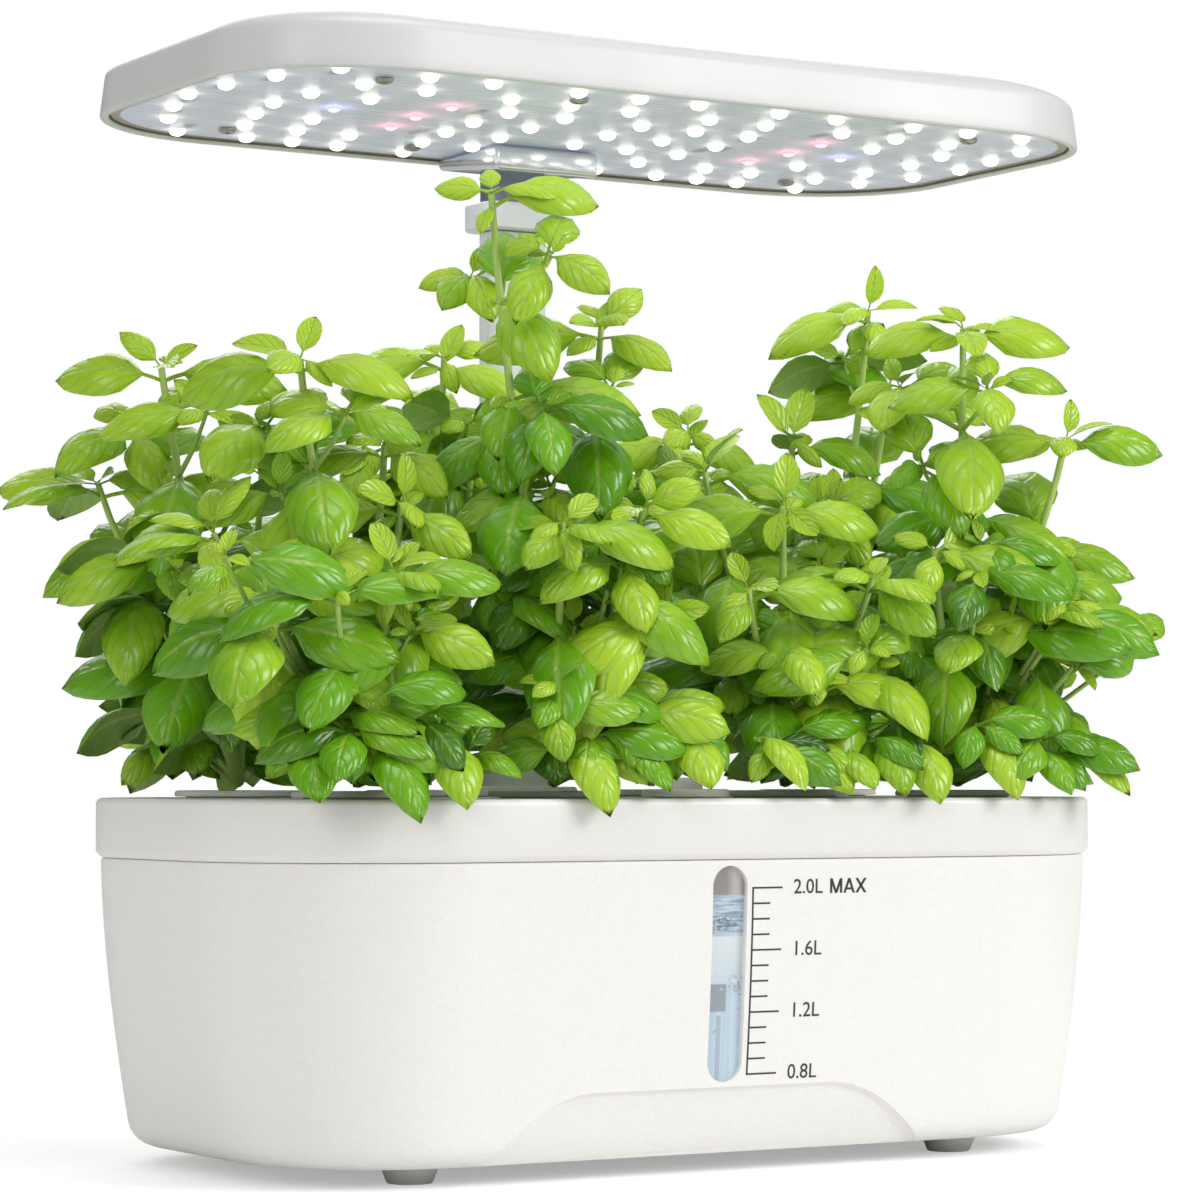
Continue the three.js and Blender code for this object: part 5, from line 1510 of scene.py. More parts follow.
def led_shape():
    """A small package with a domed lens that hangs from the board's face."""
    base = rounded_ring(PACKAGE_HALF, (0.3 * MM, 0.3 * MM), 0.1 * MM, steps=3)
    low = base - (0, 0, PACKAGE_HEIGHT)
    rings = [base, low]
    angle = np.arctan2(low[:, 1], low[:, 0])
    for turn in quarter_turns(4)[:-1]:
        radius = LENS_RADIUS * math.cos(turn)
        ring = np.stack([np.cos(angle) * radius, np.sin(angle) * radius], axis=1)
        depth = -PACKAGE_HEIGHT + 0.1 * MM - LENS_HEIGHT * math.sin(turn)
        rings.append(np.column_stack([ring, np.full(len(ring), depth)]))
    mesh = loft("led", rings)
    heights = np.array([v.co.z for v in mesh.vertices])
    lens = (heights < -PACKAGE_HEIGHT + 0.05 * MM).astype(float)
    return marked(mesh, lens=lens)


led_box = shape_box("led shape", [led_shape()])
led_points = point_cloud(
    "board_lamps", [(x, y, BOARD_FACE) for x, y, _ in leds], turn=[(0.0, 0.0, 0.0)] * len(leds),
    size=[1.0 if colour == WARM else COLOURED_SIZE for _, _, colour in leds], form=[0] * len(leds),
    led_colour=[colour if colour == WARM else np.array(colour) * COLOURED_LIGHT for _, _, colour in leds],
)
led_finish = Finish("lit lamp", roughness=0.3)
led_finish.paint(Base_Color=(0.9, 0.88, 0.78), Emission_Strength=3.0)
lens_share = led_finish.attribute("lens") * 0.8 + 0.2
lit = led_finish.mixed(lens_share, (0.0, 0.0, 0.0), led_finish.attribute("led_colour", "Color"))
led_finish.paint(Emission_Color=lit)
scatter.run(led_points, Shapes=led_box, Size=1.0, Finish=led_finish.material)
emptied(led_box)
dressed(led_points, led_finish, "lamp", ())
print("lamps", len(led_points.data.polygons), "faces")

# %% Screws of the board
screw_low, screw_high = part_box("board_screw_1")
SCREW_TOP = BOARD_FACE - SEAT_GAP
SHANK = 1.1 * MM


def screw_shape():
    """A pan-head screw with a cross slot, head down, its seat at height 0."""
    head = SCREW_TOP - screw_low.z
    shank = screw_high.z - SCREW_TOP
    profile = [
        (0.9 * MM, -head), (1.6 * MM, -head * 0.97), (2.1 * MM, -head * 0.8), (2.42 * MM, -head * 0.45),
        (SCREW_HEAD, -0.15 * MM), (SCREW_HEAD, 0.0), (SHANK, 0.0), (SHANK, shank),
    ]
    thing = shown("screw", lathe("screw", profile, sides=20))
    half, slot = 1.5 * MM, 0.32 * MM
    for across, along in ((half, slot), (slot, half)):
        cut(thing, block("knife", (-across, -along, -head - 1 * MM), (across, along, -head + 0.6 * MM)))
    mesh = thing.data
    bpy.data.objects.remove(thing)
    return mesh


screw_box = shape_box("screw shape", [screw_shape()])
screw_points = point_cloud(
    "board_screws", [(x, y, SCREW_TOP) for x, y in screws], turn=[(0.0, 0.0, 0.4 * i) for i in range(6)],
    size=[1.0] * 6, form=[0] * 6,
)
steel = plain("dark screw steel", srgb(150, 146, 140), srgb(190, 186, 178), 0.35, 0.5, 500.0, 0.02 * MM)
scatter.run(screw_points, Shapes=screw_box, Size=1.0, Finish=steel.material)
emptied(screw_box)
screw_nodes = ["board_screw_" + str(i + 1) for i in range(6)]
dressed(screw_points, steel, "lamp", screw_nodes)

# %% [markdown]
# ## Net baskets and sponges
#
# Each pod is a white basket that hangs by its rim in the deck, with a brown sponge that holds the
# roots. One basket is turned and slotted once, and its mesh is copied to the eight holes.

# %% One basket and one sponge
BASKET_SEAT = LID_TOP + SEAT_GAP
BASKET_DEPTH = 43 * MM
BASKET_WALL = 1.4 * MM
RIM_THICKNESS = 1.6 * MM
RIM_RADIUS = 17 * MM
NECK_RADIUS = 14 * MM
FOOT_RADIUS = 10.5 * MM
DRAIN_RADIUS = 3 * MM
basket_low = BASKET_SEAT - BASKET_DEPTH
rim_top = BASKET_SEAT + RIM_THICKNESS
basket_profile = [
    (DRAIN_RADIUS, basket_low), (FOOT_RADIUS - 0.6 * MM, basket_low), (FOOT_RADIUS, basket_low + 0.6 * MM),
    (NECK_RADIUS, BASKET_SEAT), (RIM_RADIUS - 0.3 * MM, BASKET_SEAT), (RIM_RADIUS, BASKET_SEAT + 0.4 * MM),
    (RIM_RADIUS, rim_top - 0.7 * MM), (RIM_RADIUS - 0.3 * MM, rim_top - 0.15 * MM),
    (RIM_RADIUS - 0.9 * MM, rim_top), (NECK_RADIUS - BASKET_WALL + 0.5 * MM, rim_top),
    (NECK_RADIUS - BASKET_WALL, rim_top - 0.5 * MM), (FOOT_RADIUS - BASKET_WALL, basket_low + BASKET_WALL),
    (DRAIN_RADIUS, basket_low + BASKET_WALL),
]
SLOT_LOW = basket_low + 7 * MM
SLOT_HIGH = SLOT_LOW + 20 * MM
master = shown("basket", lathe("basket", basket_profile, sides=48, closed=True))
for turn in (45, 135):
    knife = block("knife", (-20 * MM, -1.5 * MM, SLOT_LOW), (20 * MM, 1.5 * MM, SLOT_HIGH))
    knife.transform(Matrix.Rotation(math.radians(turn), 4, "Z"))
    cut(master, knife)

SPONGE_TOP = rim_top - 0.6 * MM
SPONGE_LOW = basket_low + 1.7 * MM
SPONGE_RADII = (8.9 * MM, 12.3 * MM)
sponge_profile = [
    (SPONGE_RADII[0] - 0.8 * MM, SPONGE_LOW), (SPONGE_RADII[0], SPONGE_LOW + 0.8 * MM),
    (SPONGE_RADII[1], SPONGE_TOP - 0.8 * MM), (SPONGE_RADII[1] - 0.8 * MM, SPONGE_TOP),
    (7 * MM, SPONGE_TOP), (3.4 * MM, SPONGE_TOP - 0.3 * MM), (2.6 * MM, SPONGE_TOP - 1.2 * MM),
    (2.4 * MM, SPONGE_TOP - 9 * MM),
]
sponge_mesh = lathe("sponge", sponge_profile, sides=40)

# %% Eight of each
basket_finish = moulded("white basket plastic", srgb(234, 234, 232), 0.02 * MM, 0.45, 1000.0)
sponge_finish = Finish("brown growing sponge", roughness=0.95)
pores = sponge_finish.noise(900.0, 5.0, 0.7)
sponge_finish.tones(sponge_finish.spread(pores, 0.35, 0.65), srgb(38, 28, 20), srgb(92, 74, 56))
sponge_finish.bump(pores, 0.5 * MM)
for number, (x, y) in enumerate(pods, 1):
    shift = Matrix.Translation((x, y, 0))
    for kind, mesh, finish, slot in (
        ("basket", master.data, basket_finish, "basket_white"),
        ("sponge", sponge_mesh, sponge_finish, "sponge_brown"),
    ):
        copy = mesh.copy()
        copy.transform(shift)
        piece = shown(f"pod_{kind}_{number}", copy)
        dressed(piece, finish, f"pod_{number}", [f"{kind}_{number}"])
bpy.data.objects.remove(master)
print("eight baskets and sponges")

# %% [markdown]
# ## Basil leaves
#
# A basil leaf is a pointed oval with a creased midrib. Its blade arches along its length, its
# edges curl under and its tip hangs. A few leaf shapes are enough, because each copy is turned and
# sized on its own. Each shape is a thin closed shell, and its points remember how far along and
# across the blade they lie, so that the veins can be drawn by sums in the material.

# %% The shape of one leaf
LEAF_ROWS = 8
LEAF_COLUMNS = 4
STALK_SHARE = 0.17
STALK_HALF = 0.018
BLADE_THICKNESS = 0.011


def leaf_shape(name, start, end, width, cup, crease=0.16, twist=0.0, wave=0.0):
    """A leaf of length 1 along X: start and end are the midrib's slopes in degrees."""
    stalk = np.array([0.0, 0.5]) * STALK_SHARE
    blade = STALK_SHARE + (1 - STALK_SHARE) * np.linspace(0, 1, LEAF_ROWS) ** 0.9
    shares = np.concatenate([stalk, blade])
    fine = np.linspace(0, 1, 200)
    slope = np.radians(start + (end - start) * fine)
    path_x = np.concatenate([[0], np.cumsum(np.cos(slope[:-1])) / 199])
    path_z = np.concatenate([[0], np.cumsum(np.sin(slope[:-1])) / 199])
    sides = np.linspace(-1, 1, LEAF_COLUMNS + 1)
    top, low, along, across = [], [], [], []
    for share in shares:
        t = max((share - STALK_SHARE) / (1 - STALK_SHARE), 0.0)
        half = width / 2 * 2.17 * t**0.62 * max(1 - t, 0) ** 0.78
        half = max(half, STALK_HALF * (1 - 0.8 * t) if t < 0.999 else 0.0)
        angle = math.radians(start + (end - start) * share)
        centre = np.array([np.interp(share, fine, path_x), 0.0, np.interp(share, fine, path_z)])
        normal = np.array([-math.sin(angle), 0.0, math.cos(angle)])
        roll = math.radians(twist) * t
        for s in sides:
            ripple = wave * half * math.sin(9 * t + 2 * np.sign(s)) * abs(s) ** 2
            lift = -cup * half * s * s + crease * half * abs(s) * (1.6 - abs(s)) * min(4 * t, 1) + ripple
            aside = half * s * (1 - 0.16 * cup * s * s)
            sideways = np.array([0.0, math.cos(roll), 0.0]) * aside + normal * math.sin(roll) * aside
            thick = BLADE_THICKNESS * (1 - 0.7 * s * s) + (0.012 if t == 0 else 0) * (1 - s * s)
            place = centre + sideways + normal * lift
            top.append(place + normal * thick / 2)
            low.append(place - normal * thick / 2)
            along.append(t)
            across.append(s)
    columns = LEAF_COLUMNS + 1
    rows = len(shares)
    faces = []
    for r in range(rows - 1):
        for c in range(columns - 1):
            a = r * columns + c
            faces.append((a, a + columns, a + columns + 1, a + 1))
            b = a + rows * columns
            faces.append((b, b + 1, b + columns + 1, b + columns))
    rim = [r * columns for r in range(rows)] + [(rows - 1) * columns + c for c in range(1, columns)]
    rim += [r * columns + columns - 1 for r in range(rows - 2, -1, -1)] + list(range(columns - 2, 0, -1))
    for i, a in enumerate(rim):
        b = rim[(i + 1) % len(rim)]
        faces.append((b, a, a + rows * columns, b + rows * columns))
    mesh = bpy.data.meshes.new(name)
    mesh.from_pydata(np.array(top + low).tolist(), [], faces)
    upper = [1.0] * len(top) + [0.0] * len(low)
    return outward(marked(mesh, along=along * 2, across=across * 2, upper=upper))


LEAF_SHAPES = [
    leaf_shape("leaf open", 28, -46, 0.60, 0.46, crease=0.24, wave=0.04),
    leaf_shape("leaf arched", 34, -66, 0.60, 0.52, crease=0.24),
    leaf_shape("leaf broad", 28, -54, 0.66, 0.54, crease=0.26, wave=0.05),
    leaf_shape("leaf narrow", 26, -50, 0.50, 0.35, crease=0.22),
    leaf_shape("leaf turned", 31, -56, 0.60, 0.46, crease=0.22, twist=22),
    leaf_shape("leaf young", 30, 0, 0.54, -0.20, crease=0.10),
    leaf_shape("leaf turned back", 31, -58, 0.62, 0.48, crease=0.22, twist=-22),
]
OPEN, ARCHED, BROAD, NARROW, TURNED, YOUNG, TURNED_BACK = range(7)
print(len(LEAF_SHAPES), "leaf shapes of", len(LEAF_SHAPES[0].polygons), "faces")

# %% [markdown]
# ## Leaf colour
#
# The blade bulges between its veins, so the height is a row of pillows that lean towards the tip,
# and the veins are the valleys. One number on each leaf, its tone, runs from deep green low down
# and deep in the bush to yellow-green near the lamp and near its stem's tip: partly the paler green
# of young leaves, partly painted light and shade. The underside is paler and duller. Some light
# passes through, which a translucent shader mixed with the glossy one gives.

# %% The leaf finish
VEIN_PAIRS = 4.7
leaf = Finish("basil leaf", roughness=0.42)
along = leaf.attribute("along")
side = leaf.attribute("across").size()
tone = leaf.attribute("tone")
upper = leaf.attribute("upper")
lean = along - side * 0.30 - side * side * 0.16
cell = (lean * VEIN_PAIRS).fraction() - 0.5
edge = cell.size() * 2.0
pillow = 1.0 - edge**3.0
vein = leaf.spread(edge, 0.86, 0.98) * leaf.spread(side, 1.0, 0.55)
midrib = leaf.spread(side + along * 0.05, 0.16, 0.03)
crinkle = leaf.noise(330.0, 3.0, 0.6)
patch = leaf.noise(55.0, 2.0)

# The leaf's brightness: its tone, with its painted light and shade, random patches, and a slight painted
# highlight on each bulge between the veins.
bright = (tone * 1.3 - 0.17 + (patch - 0.5) * 0.4 + (pillow - 0.6) * 0.08).clipped()
green = leaf.mixed(leaf.spread(bright, 0.0, 0.55), srgb(26, 72, 3), srgb(112, 182, 8))
green = leaf.mixed(leaf.spread(bright, 0.5, 1.0), green, srgb(200, 236, 56))
pale_vein = leaf.mixed(bright, srgb(96, 156, 40), srgb(200, 230, 96))
green = leaf.mixed(vein.maths("MAXIMUM", vein * 0.4, midrib * 0.8), green, pale_vein)
rim_light = leaf.spread(side, 0.9, 1.0)
green = leaf.mixed(rim_light * 0.4, green, pale_vein)
under = leaf.mixed(bright, srgb(122, 158, 78), srgb(180, 206, 110))
under = leaf.mixed(vein.maths("MAXIMUM", vein * 0.5, midrib * 0.7), under, srgb(196, 214, 140))
colour = leaf.mixed(upper, under, green)
leaf.paint(Base_Color=colour, Roughness=leaf.spread(upper, 0.0, 1.0, 0.6, 0.27))
leaf.paint(Specular_IOR_Level=0.75)
swell = leaf.noise(130.0, 2.0)
relief = pillow * 0.34 + swell * 1.3 + crinkle * 0.16 - midrib * 0.5
leaf.bump(relief, 0.5 * MM, 0.9)
glow_through = leaf.add("BsdfTranslucent", None, {"Color": (0.45, 0.80, 0.05)})
leaf.blended(glow_through, bright * 0.16 + 0.05)

stem_finish = Finish("basil stem", roughness=0.45)
rib = stem_finish.noise(1.0, 3.0, 0.5, stem_finish.stretched((900.0, 900.0, 60.0)))
# The stem's tone follows the leaves' tone, with its painted light and shade, and is darker towards the
# stem's foot.
stem_tone = stem_finish.attribute("tone")
stem_green = stem_finish.mixed(stem_tone, srgb(138, 176, 62), srgb(206, 232, 132))
stem_finish.tones(rib * 0.5, stem_green, srgb(170, 200, 90))
stem_finish.bump(rib, 0.15 * MM)

# %% [markdown]
# ## Growing the plants
#
# Each pod holds several stems. Their tips are given one by one to match the photograph, as shares
# of the room round the plant. The construction model has one plain stem for each pod, so these
# plants are much fuller, but they stay inside the same outer box. A stem leans out from its sponge
# and stands upright at its tip. Leaves stand on it in crossed pairs, each turned so that its upper
# face looks towards the front. A leaf that would leave its own pod's ground swings aside, shrinks or
# is left out, so any pod can be lifted out past its neighbours.

# %% Where the stems stand
STEM_TIPS = (
    ((-0.67, -0.28, 0.67), (-0.52, -0.42, 0.45), (-0.62, -0.72, 0.34), (-0.8, -0.56, 0.31),
     (-0.82, -0.26, 0.4), (-0.48, -0.16, 0.55)),
    ((-0.34, -0.38, 0.94), (-0.1, -0.3, 0.75), (-0.3, -0.7, 0.42), (-0.13, -0.66, 0.45),
     (-0.22, -0.18, 0.56)),
    ((0.22, -0.45, 0.47), (0.09, -0.62, 0.33), (0.34, -0.64, 0.35), (0.15, -0.18, 0.53),
     (0.36, -0.28, 0.47)),
    ((0.62, -0.42, 0.78), (0.81, -0.52, 0.6), (0.48, -0.62, 0.4), (0.7, -0.74, 0.31),
     (0.82, -0.3, 0.43)),
    ((-0.76, 0.38, 0.68), (-0.82, 0.62, 0.5), (-0.54, 0.5, 0.52), (-0.8, 0.18, 0.38)),
    ((-0.23, 0.32, 0.72), (-0.34, 0.5, 0.58), (-0.21, 0.2, 0.52)),
    ((0.29, 0.35, 0.62), (0.22, 0.18, 0.55), (0.35, 0.53, 0.54)),
    ((0.63, 0.18, 0.84), (0.75, 0.38, 0.72), (0.5, 0.3, 0.61), (0.82, 0.52, 0.5)),
)
TOP_SHARES = (0.79, 0.995, 0.79, 0.9, 0.79, 0.83, 0.79, 0.935)
ROOM_UNDER_LAMP = 13.6
DECK = LID_TOP / MM
PLANT_ROOM = shade_low.z / MM - DECK - ROOM_UNDER_LAMP
REACH = (cad_bounds[1][0] / MM, cad_bounds[1][1] / MM)
BORDER = (abs(pods[0][0]) + abs(pods[1][0])) / 2 / MM
BESIDE_MAST = 18.5
NODE_SPACING = 0.15 * PLANT_ROOM
TOP_NODE = 0.02 * PLANT_ROOM
LOWEST_NODE = 0.12 * PLANT_ROOM
CROWN = rim_top / MM + 1.5
BRIGHT_SIDE = -0.67 * math.pi
BACK_SIDE = 0.45 * math.pi
LEAF_LENGTH = 38.0
STEM_RADIUS = 1.4
GOLDEN = (math.sqrt(5) - 1) / 2
CAP_ROOM = 11
OVER_DECK = (136, 73.4)
DECK_GAP, EDGE_GAP = 2.9, 0.6
LOWEST_LEAF = 84
TOP_GAP = 0.8
rng = np.random.default_rng(21)


def ground_of(pod):
    """The ground of a pod's plant, as low and high corners in millimetres."""
    sign_x, sign_y = np.sign(pods[pod - 1])
    inner = abs(pods[pod - 1][0]) / MM < BORDER
    near = (BESIDE_MAST if sign_y > 0 else 1.0) if inner else BORDER + 1
    far = BORDER - 1 if inner else REACH[0] - 0.4
    corners = np.array([[near * sign_x, 1.0 * sign_y], [far * sign_x, (REACH[1] - 0.4) * sign_y]])
    return corners.min(axis=0), corners.max(axis=0)


grounds = {pod: ground_of(pod) for pod in range(1, 9)}
shape_points = [np.array([v.co for v in mesh.vertices]) for mesh in LEAF_SHAPES]
cap_reach = [abs(value) / MM + 2 for value in cap_high - cap_low]
cap_middle = (cap_low + cap_high) / 2 / MM
cap_clear = cap_high.z / MM + CAP_ROOM


def plant_top(pod):
    return DECK + PLANT_ROOM * TOP_SHARES[pod - 1]


def crown_of(pod):
    """Where a pod's stems leave its sponge."""
    return np.array([*np.array(pods[pod - 1]) / MM, CROWN])


def outer_side(pod):
    """Minus one for the front row of pods, one for the back row."""
    return 1 if pod > 4 else -1


def turned_points(form, turn, size, place):
    matrix = np.array(Euler(turn, "XYZ").to_matrix())
    return shape_points[form] @ matrix.T * size + place


def fits(pod, points, over_edge=False):
    """Whether a leaf stays over its pod's ground, above the deck and under its own height."""
    low, high = grounds[pod]
    inside = (points[:, :2] > low).all() and (points[:, :2] < high).all()
    x, y, z = points.T
    over_deck = (np.abs(x) < OVER_DECK[0]) & (np.abs(y) < OVER_DECK[1])
    above = (z[over_deck] > DECK + (EDGE_GAP if over_edge else DECK_GAP)).all()
    over_cap = (np.abs(x) < cap_reach[0] / 2) & (np.abs(y - cap_middle.y) < cap_reach[1] / 2)
    above = above and (z > LOWEST_LEAF).all() and (z[over_cap] > cap_clear).all()
    return inside and above and (z < plant_top(pod) + TOP_GAP).all()


class Stem:
    """A stem that leans out from the crown and stands upright at its tip."""

    def __init__(self, pod, tip):
        self.base = crown_of(pod)
        self.tip = np.array(tip, float)

    def at(self, share):
        drift = np.array([0.65 * share + 0.35 * (3 * share**2 - 2 * share**3)] * 2 + [share])
        return self.base + (self.tip - self.base) * drift

    def level(self, height):
        return self.at((height - self.base[2]) / (self.tip[2] - self.base[2]))

    def path(self, steps=10):
        return np.array([self.at(share) for share in np.linspace(0, 1, steps)])


def placed_tip(shares):
    return (shares[0] * REACH[0], shares[1] * REACH[1], DECK + shares[2] * PLANT_ROOM)


print("room for plants", round(PLANT_ROOM, 1), "mm over the deck at", round(DECK, 1))

# %% [markdown]
# ## Leaves on the stems
#
# The main leaves stand in pairs at even steps down each stem. Shoots, young leaves and low fillers
# are drawn from a random generator with a fixed seed, and they close the gaps that a real bush
# wouldn't have.

# %% Adding one leaf
plants = {pod: {"place": [], "turn": [], "size": [], "form": [], "tone": []} for pod in range(1, 9)}
stems = {pod: [] for pod in range(1, 9)}
BIG_FORMS = (OPEN, ARCHED, BROAD, TURNED, TURNED_BACK, ARCHED)
SMALL_FORMS = (YOUNG, OPEN, NARROW)
SHOOT_REACH, SHOOT_RISE = (12, 24), (0.3, 0.95)
SHOOT_PAIRS = ((2.0, 0, 30), (0.8, 1, 24))
SMALL_TUFT, TIP_TUFT = 10.0, 16.0


def facing(heading, side=BRIGHT_SIDE, wobble=0.0):
    """The turn of a leaf that grows along a heading and shows its upper face to one side."""
    towards = math.cos(heading - side)
    pitch = (0.24 * max(-towards, 0) - 0.17 * max(towards, 0)) * math.pi + rng.normal(0, wobble)
    roll = 0.26 * math.pi * math.sin(heading - side) + rng.normal(0, wobble)
    return roll, -pitch, heading


def keep(pod, place, turn, length, form, tone):
    plant = plants[pod]
    values = {"place": place * MM, "turn": turn, "size": length * MM, "form": form, "tone": tone}
    for key, value in values.items():
        plant[key].append(value)


def add_leaf(
    pod, place, heading, length, forms, tone, side=BRIGHT_SIDE, wobble=0.15, swing=0.4, grow=1.0
):
    """Adds a leaf. Where it doesn't fit, it swings aside and shrinks a step at a time."""
    form = forms[rng.integers(len(forms))]
    for attempt in range(4):
        turn = facing(heading + attempt * swing, side, wobble)
        size = length * 0.86**attempt
        if fits(pod, turned_points(form, turn, size, place)):
            grown = size * grow
            size = grown if fits(pod, turned_points(form, turn, grown, place)) else size
            keep(pod, place, turn, size, form, np.clip(tone + rng.normal(0, 0.08), 0.02, 1))
            return True
    return False


def tuft(pod, place, tone, size):
    """The young leaves at a tip, small and spreading."""
    first = rng.uniform(0, math.pi)
    for number in range(4):
        heading = first + number * math.pi / 2 + rng.normal(0, 0.25)
        length = size * rng.uniform(0.7, 1.25)
        add_leaf(pod, place, heading, length, SMALL_FORMS[:2], tone + 0.12, wobble=0.35)


def side_shoot(pod, place, heading, tone, side):
    """A short branch with two crossed pairs of leaves and a tuft."""
    reach, rise = rng.uniform(*SHOOT_REACH), rng.uniform(*SHOOT_RISE)
    out = np.array([math.cos(heading) * math.cos(rise), math.sin(heading) * math.cos(rise), math.sin(rise)])
    tip = place + out * reach + (0, 0, 3)
    low, high = grounds[pod]
    top = plant_top(pod)
    if (tip[:2] < low + 4).any() or (tip[:2] > high - 4).any() or tip[2] > top - 10:
        return
    stems[pod].append((np.array([place, place + out * reach * 0.55, tip]), tone, 0.55))
    for back, quarter, size in SHOOT_PAIRS:
        for half in (0, 1):
            turned = heading + (0.5 + 0.5 * quarter + half) * math.pi + rng.normal(0, 0.2)
            add_leaf(pod, tip - out * back, turned, size * rng.uniform(0.85, 1.15), BIG_FORMS, tone, side)
    tuft(pod, tip, tone, SMALL_TUFT)


# %% Dressing the stems
SHOOT_CHANCE, BUD_CHANCE = 0.62, 0.6
MAIN_GROWTH = 1.13


def tone_at(height, top, tone=0.9):
    """Leaves are painted brighter near their stem's tip and near the lamp and darker lower down: partly the
    paler green of young leaves, partly painted light and shade.
    """
    depth = min((top - height) / 95, 1)
    return tone * (1 - 0.5 * depth) * (0.7 + 0.36 * (height - DECK) / PLANT_ROOM)


for pod, tips in enumerate(STEM_TIPS, 1):
    for number, shares in enumerate(tips):
        stem = Stem(pod, placed_tip(shares))
        top = stem.tip[2]
        stems[pod].append((stem.path(), 0.8, 1.0))
        pairs = 1 + math.floor((top - TOP_NODE - DECK - LOWEST_NODE) / NODE_SPACING)
        for pair in range(pairs):
            place = stem.level(top - TOP_NODE - pair * NODE_SPACING)
            tone = tone_at(place[2], top)
            for half in (0, 1):
                step = 2 * (pair + len(STEM_TIPS) * (number + pod - 1)) + half
                jitter = 0.08 * math.pi * (2 * (step * GOLDEN % 1) - 1)
                heading = BRIGHT_SIDE + (0.5 + (pair % 2) / 2 + half) * math.pi + jitter
                length = LEAF_LENGTH * (0.86 if pair == 0 else 1) * (1 - 0.14 * ((step + 1) * GOLDEN % 1))
                swing = (1 if half else -1) * math.pi / 8
                add_leaf(
                    pod, place, heading, length, BIG_FORMS, tone,
                    wobble=0.07, swing=swing, grow=MAIN_GROWTH,
                )
                side = BACK_SIDE if pod > 4 and rng.random() < 0.5 else BRIGHT_SIDE
                if pair > 0 and rng.random() < SHOOT_CHANCE:
                    side_shoot(pod, place, heading + rng.normal(0.6, 0.3), tone + 0.08, side)
                elif rng.random() < BUD_CHANCE:
                    add_leaf(pod, place, heading + 0.8, rng.uniform(10, 17), SMALL_FORMS, tone + 0.12, side)
        tuft(pod, stem.tip, tone_at(top, top), TIP_TUFT)

# %% The widest leaves and the low fillers
for pod, tips in enumerate(STEM_TIPS, 1):
    sign_x, sign_y = np.sign(pods[pod - 1])
    far_out = [(1, sign_y * math.pi / 2)]
    if abs(pods[pod - 1][0]) / MM > BORDER:
        far_out.append((0, 0.0 if sign_x > 0 else math.pi))
    for axis, heading in far_out:
        stem = Stem(pod, placed_tip(max(tips, key=lambda shares: abs(shares[axis]))))
        place = stem.level(stem.tip[2] - TOP_NODE)
        length = (REACH[axis] - 1.0 - abs(place[axis])) / 0.886
        turn = (0.12 * math.sin(heading - BRIGHT_SIDE), 0.0, heading)
        while not fits(pod, turned_points(OPEN, turn, length, place)):
            length *= 0.97
        keep(pod, place, turn, length, OPEN, 0.7)

FILLERS = 5
FILLER_Y, FILLER_HEIGHT, FILLER_LEAF = (44, 68), (22, 62), (27, 39)
# Low fillers get a lower tone: partly the deeper green of old leaves, partly painted shade low in the bush.
FILLER_TONE = (0.45, 0.8)
FILLER_STEP, FILLER_LOWEST = 15, 13
for pod in plants:
    low, high = grounds[pod]
    for number in range(FILLERS):
        x = rng.uniform(low[0] + 10, high[0] - 10)
        y = outer_side(pod) * rng.uniform(*FILLER_Y)
        stem = Stem(pod, (x, y, DECK + rng.uniform(*FILLER_HEIGHT)))
        stems[pod].append((stem.path(6), 0.6, 0.7))
        level, quarter = stem.tip[2] - 3, 0
        while level > DECK + FILLER_LOWEST:
            for half in (0, 1):
                heading = BRIGHT_SIDE + (0.5 + 0.5 * quarter + half) * math.pi + rng.normal(0, 0.35)
                side = BACK_SIDE if pod > 4 else BRIGHT_SIDE
                length = rng.uniform(*FILLER_LEAF)
                tone = rng.uniform(*FILLER_TONE)
                add_leaf(pod, stem.level(level), heading, length, BIG_FORMS, tone, side)
            level -= FILLER_STEP
            quarter = 1 - quarter
        tuft(pod, stem.tip, 0.75, SMALL_TUFT)

SKIRT = 8
SKIRT_Y, SKIRT_HEIGHT, SKIRT_LEAF = (50, 70), (10, 24), (21, 31)
# The skirt's leaves get the lowest tones: partly the deeper green of old leaves, partly painted shade under
# the bush.
SKIRT_TONE = (0.3, 0.75)
SKIRT_LEFT_BACK, SKIRT_LEFT_FRONT, SKIRT_RIGHT = -98, -110, 102
for pod in plants:
    low, high = grounds[pod]
    crown = crown_of(pod)
    for number in range(SKIRT):
        across = (number + rng.uniform(0.2, 0.8)) / SKIRT
        side = BACK_SIDE if pod in (6, 7) or (pod > 4 and number % 2) else BRIGHT_SIDE
        left = SKIRT_LEFT_BACK if pod > 4 else SKIRT_LEFT_FRONT
        x = np.clip(low[0] + 6 + (high[0] - low[0] - 12) * across, left, SKIRT_RIGHT)
        y = outer_side(pod) * rng.uniform(*SKIRT_Y)
        place = np.array([x, y, DECK + rng.uniform(*SKIRT_HEIGHT)])
        bend = (crown + place) / 2 + (0, 0, 2)
        stems[pod].append((np.array([crown, bend, place]), 0.5, 0.55))
        for turn in (-0.5, 0.5, 0.0):
            heading = side + turn * math.pi + rng.normal(0, 0.3)
            length, tone = rng.uniform(*SKIRT_LEAF), rng.uniform(*SKIRT_TONE)
            add_leaf(pod, place, heading, length, BIG_FORMS, tone, side)
print(sum(len(p["size"]) for p in plants.values()), "leaves on", sum(map(len, stems.values())), "stems")

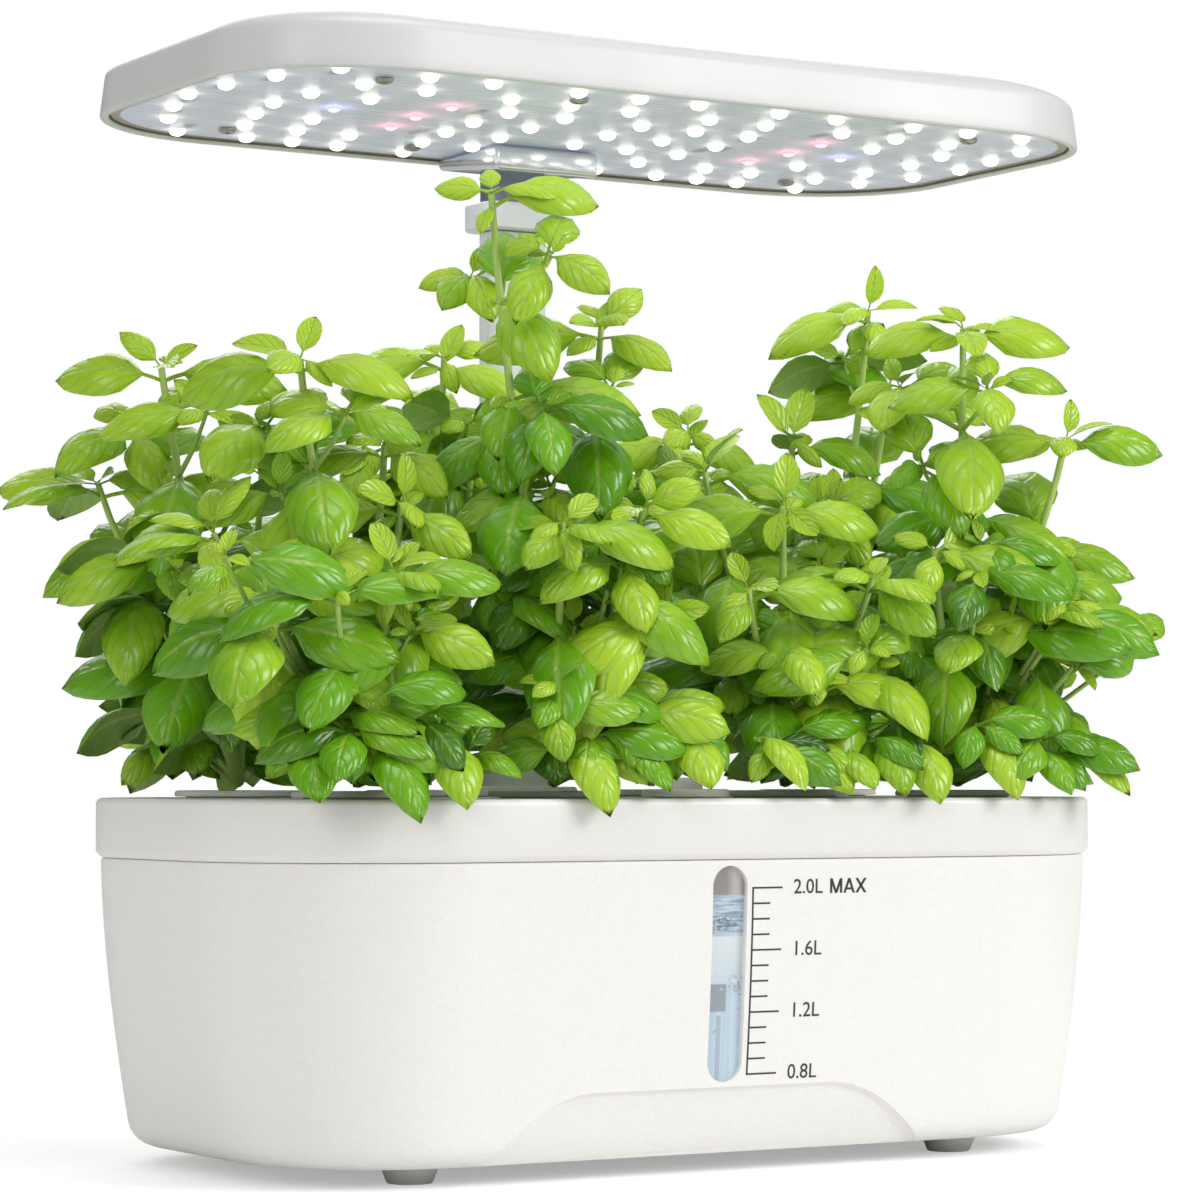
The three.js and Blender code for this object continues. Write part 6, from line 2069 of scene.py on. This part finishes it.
# %% Leaves that hang over the front edge
HANGING = (
    (1, (-84, -61, 110), -1.75, -0.5, 36, ARCHED, 0.75), (2, (-48, -61, 110), -1.5, -0.55, 40, ARCHED, 0.8),
    (2, (-14, -62, 113), -1.75, -0.5, 42, BROAD, 0.85), (3, (8, -62, 111), -1.35, -0.4, 34, ARCHED, 0.85),
    (3, (58, -61, 110), -1.8, -0.45, 38, ARCHED, 0.8), (4, (80, -61, 112), -1.6, -0.5, 40, ARCHED, 0.8),
    (4, (112, -60, 108), -1.3, -0.4, 32, OPEN, 0.75), (3, (34, -62, 108), -1.6, -0.4, 32, OPEN, 0.7),
    (4, (96, -63, 109), -1.5, -0.45, 34, BROAD, 0.6), (3, (46, -63, 110), -1.75, -0.45, 33, ARCHED, 0.65),
    (1, (-104, -59, 108), -1.4, -0.45, 33, ARCHED, 0.6), (1, (-118, -54, 108), -1.9, -0.4, 30, OPEN, 0.55),
    (2, (-32, -62, 109), -1.4, -0.45, 32, OPEN, 0.6),
)
for pod, place, heading, pitch, length, form, tone in HANGING:
    place = np.array(place, float)
    turn = (0.1, -pitch, heading)
    while not fits(pod, turned_points(form, turn, length, place), over_edge=True) and length > 12:
        length *= 0.95
    keep(pod, place, turn, length, form, tone)
    crown = crown_of(pod)
    bend = (crown + place) / 2 + (0, 0, 3)
    stems[pod].append((np.array([crown, bend, place]), tone, 0.6))

# %% One mesh of leaves and one of stems for each pod
leaf_box = shape_box("leaf shape", LEAF_SHAPES)
stalks = Grower("tubes along edges", Finish="Material")
lines = stalks.add("GeometryNodeMeshToCurve", None, {"Mesh": stalks.given("Geometry")})
ring = stalks.add("GeometryNodeCurvePrimitiveCircle", None, {"Resolution": 6, "Radius": 1.0})
hull = stalks.add("GeometryNodeCurveToMesh", None, {
    "Curve": lines.outputs[0], "Profile Curve": ring.outputs[0],
    "Scale": stalks.named("thickness", "FLOAT"), "Fill Caps": True,
})
stalks.end(hull.outputs[0])


def stem_lines(name, paths):
    """A mesh of edges along the stems, with a thickness and a tone at each point."""
    places, edges, thickness, tones = [], [], [], []
    for path, tone, stout in paths:
        start = len(places)
        places += [tuple(p * MM) for p in path]
        edges += [(start + i, start + i + 1) for i in range(len(path) - 1)]
        shares = np.linspace(0, 1, len(path))
        thickness += [STEM_RADIUS * MM * stout * (1 - 0.35 * share) for share in shares]
        tones += [tone * (0.5 + 0.5 * share) for share in shares]
    mesh = bpy.data.meshes.new(name)
    mesh.from_pydata(places, edges, [])
    return shown(name, marked(mesh, thickness=thickness, tone=tones))


for pod, plant in plants.items():
    cloud = point_cloud(f"basil_leaves_{pod}", plant.pop("place"), **plant)
    scatter.run(cloud, Shapes=leaf_box, Size=1.0, Finish=leaf.material)
    dressed(cloud, leaf, f"pod_{pod}", [f"basil_{pod}"], sharp=70)
    stem = stalks.run(stem_lines(f"basil_stems_{pod}", stems[pod]), Finish=stem_finish.material)
    dressed(stem, stem_finish, f"pod_{pod}", (), sharp=80)
emptied(leaf_box)
total = sum(len(thing.data.polygons) for thing in bpy.data.objects if thing.type == "MESH")
print(total, "faces in all")
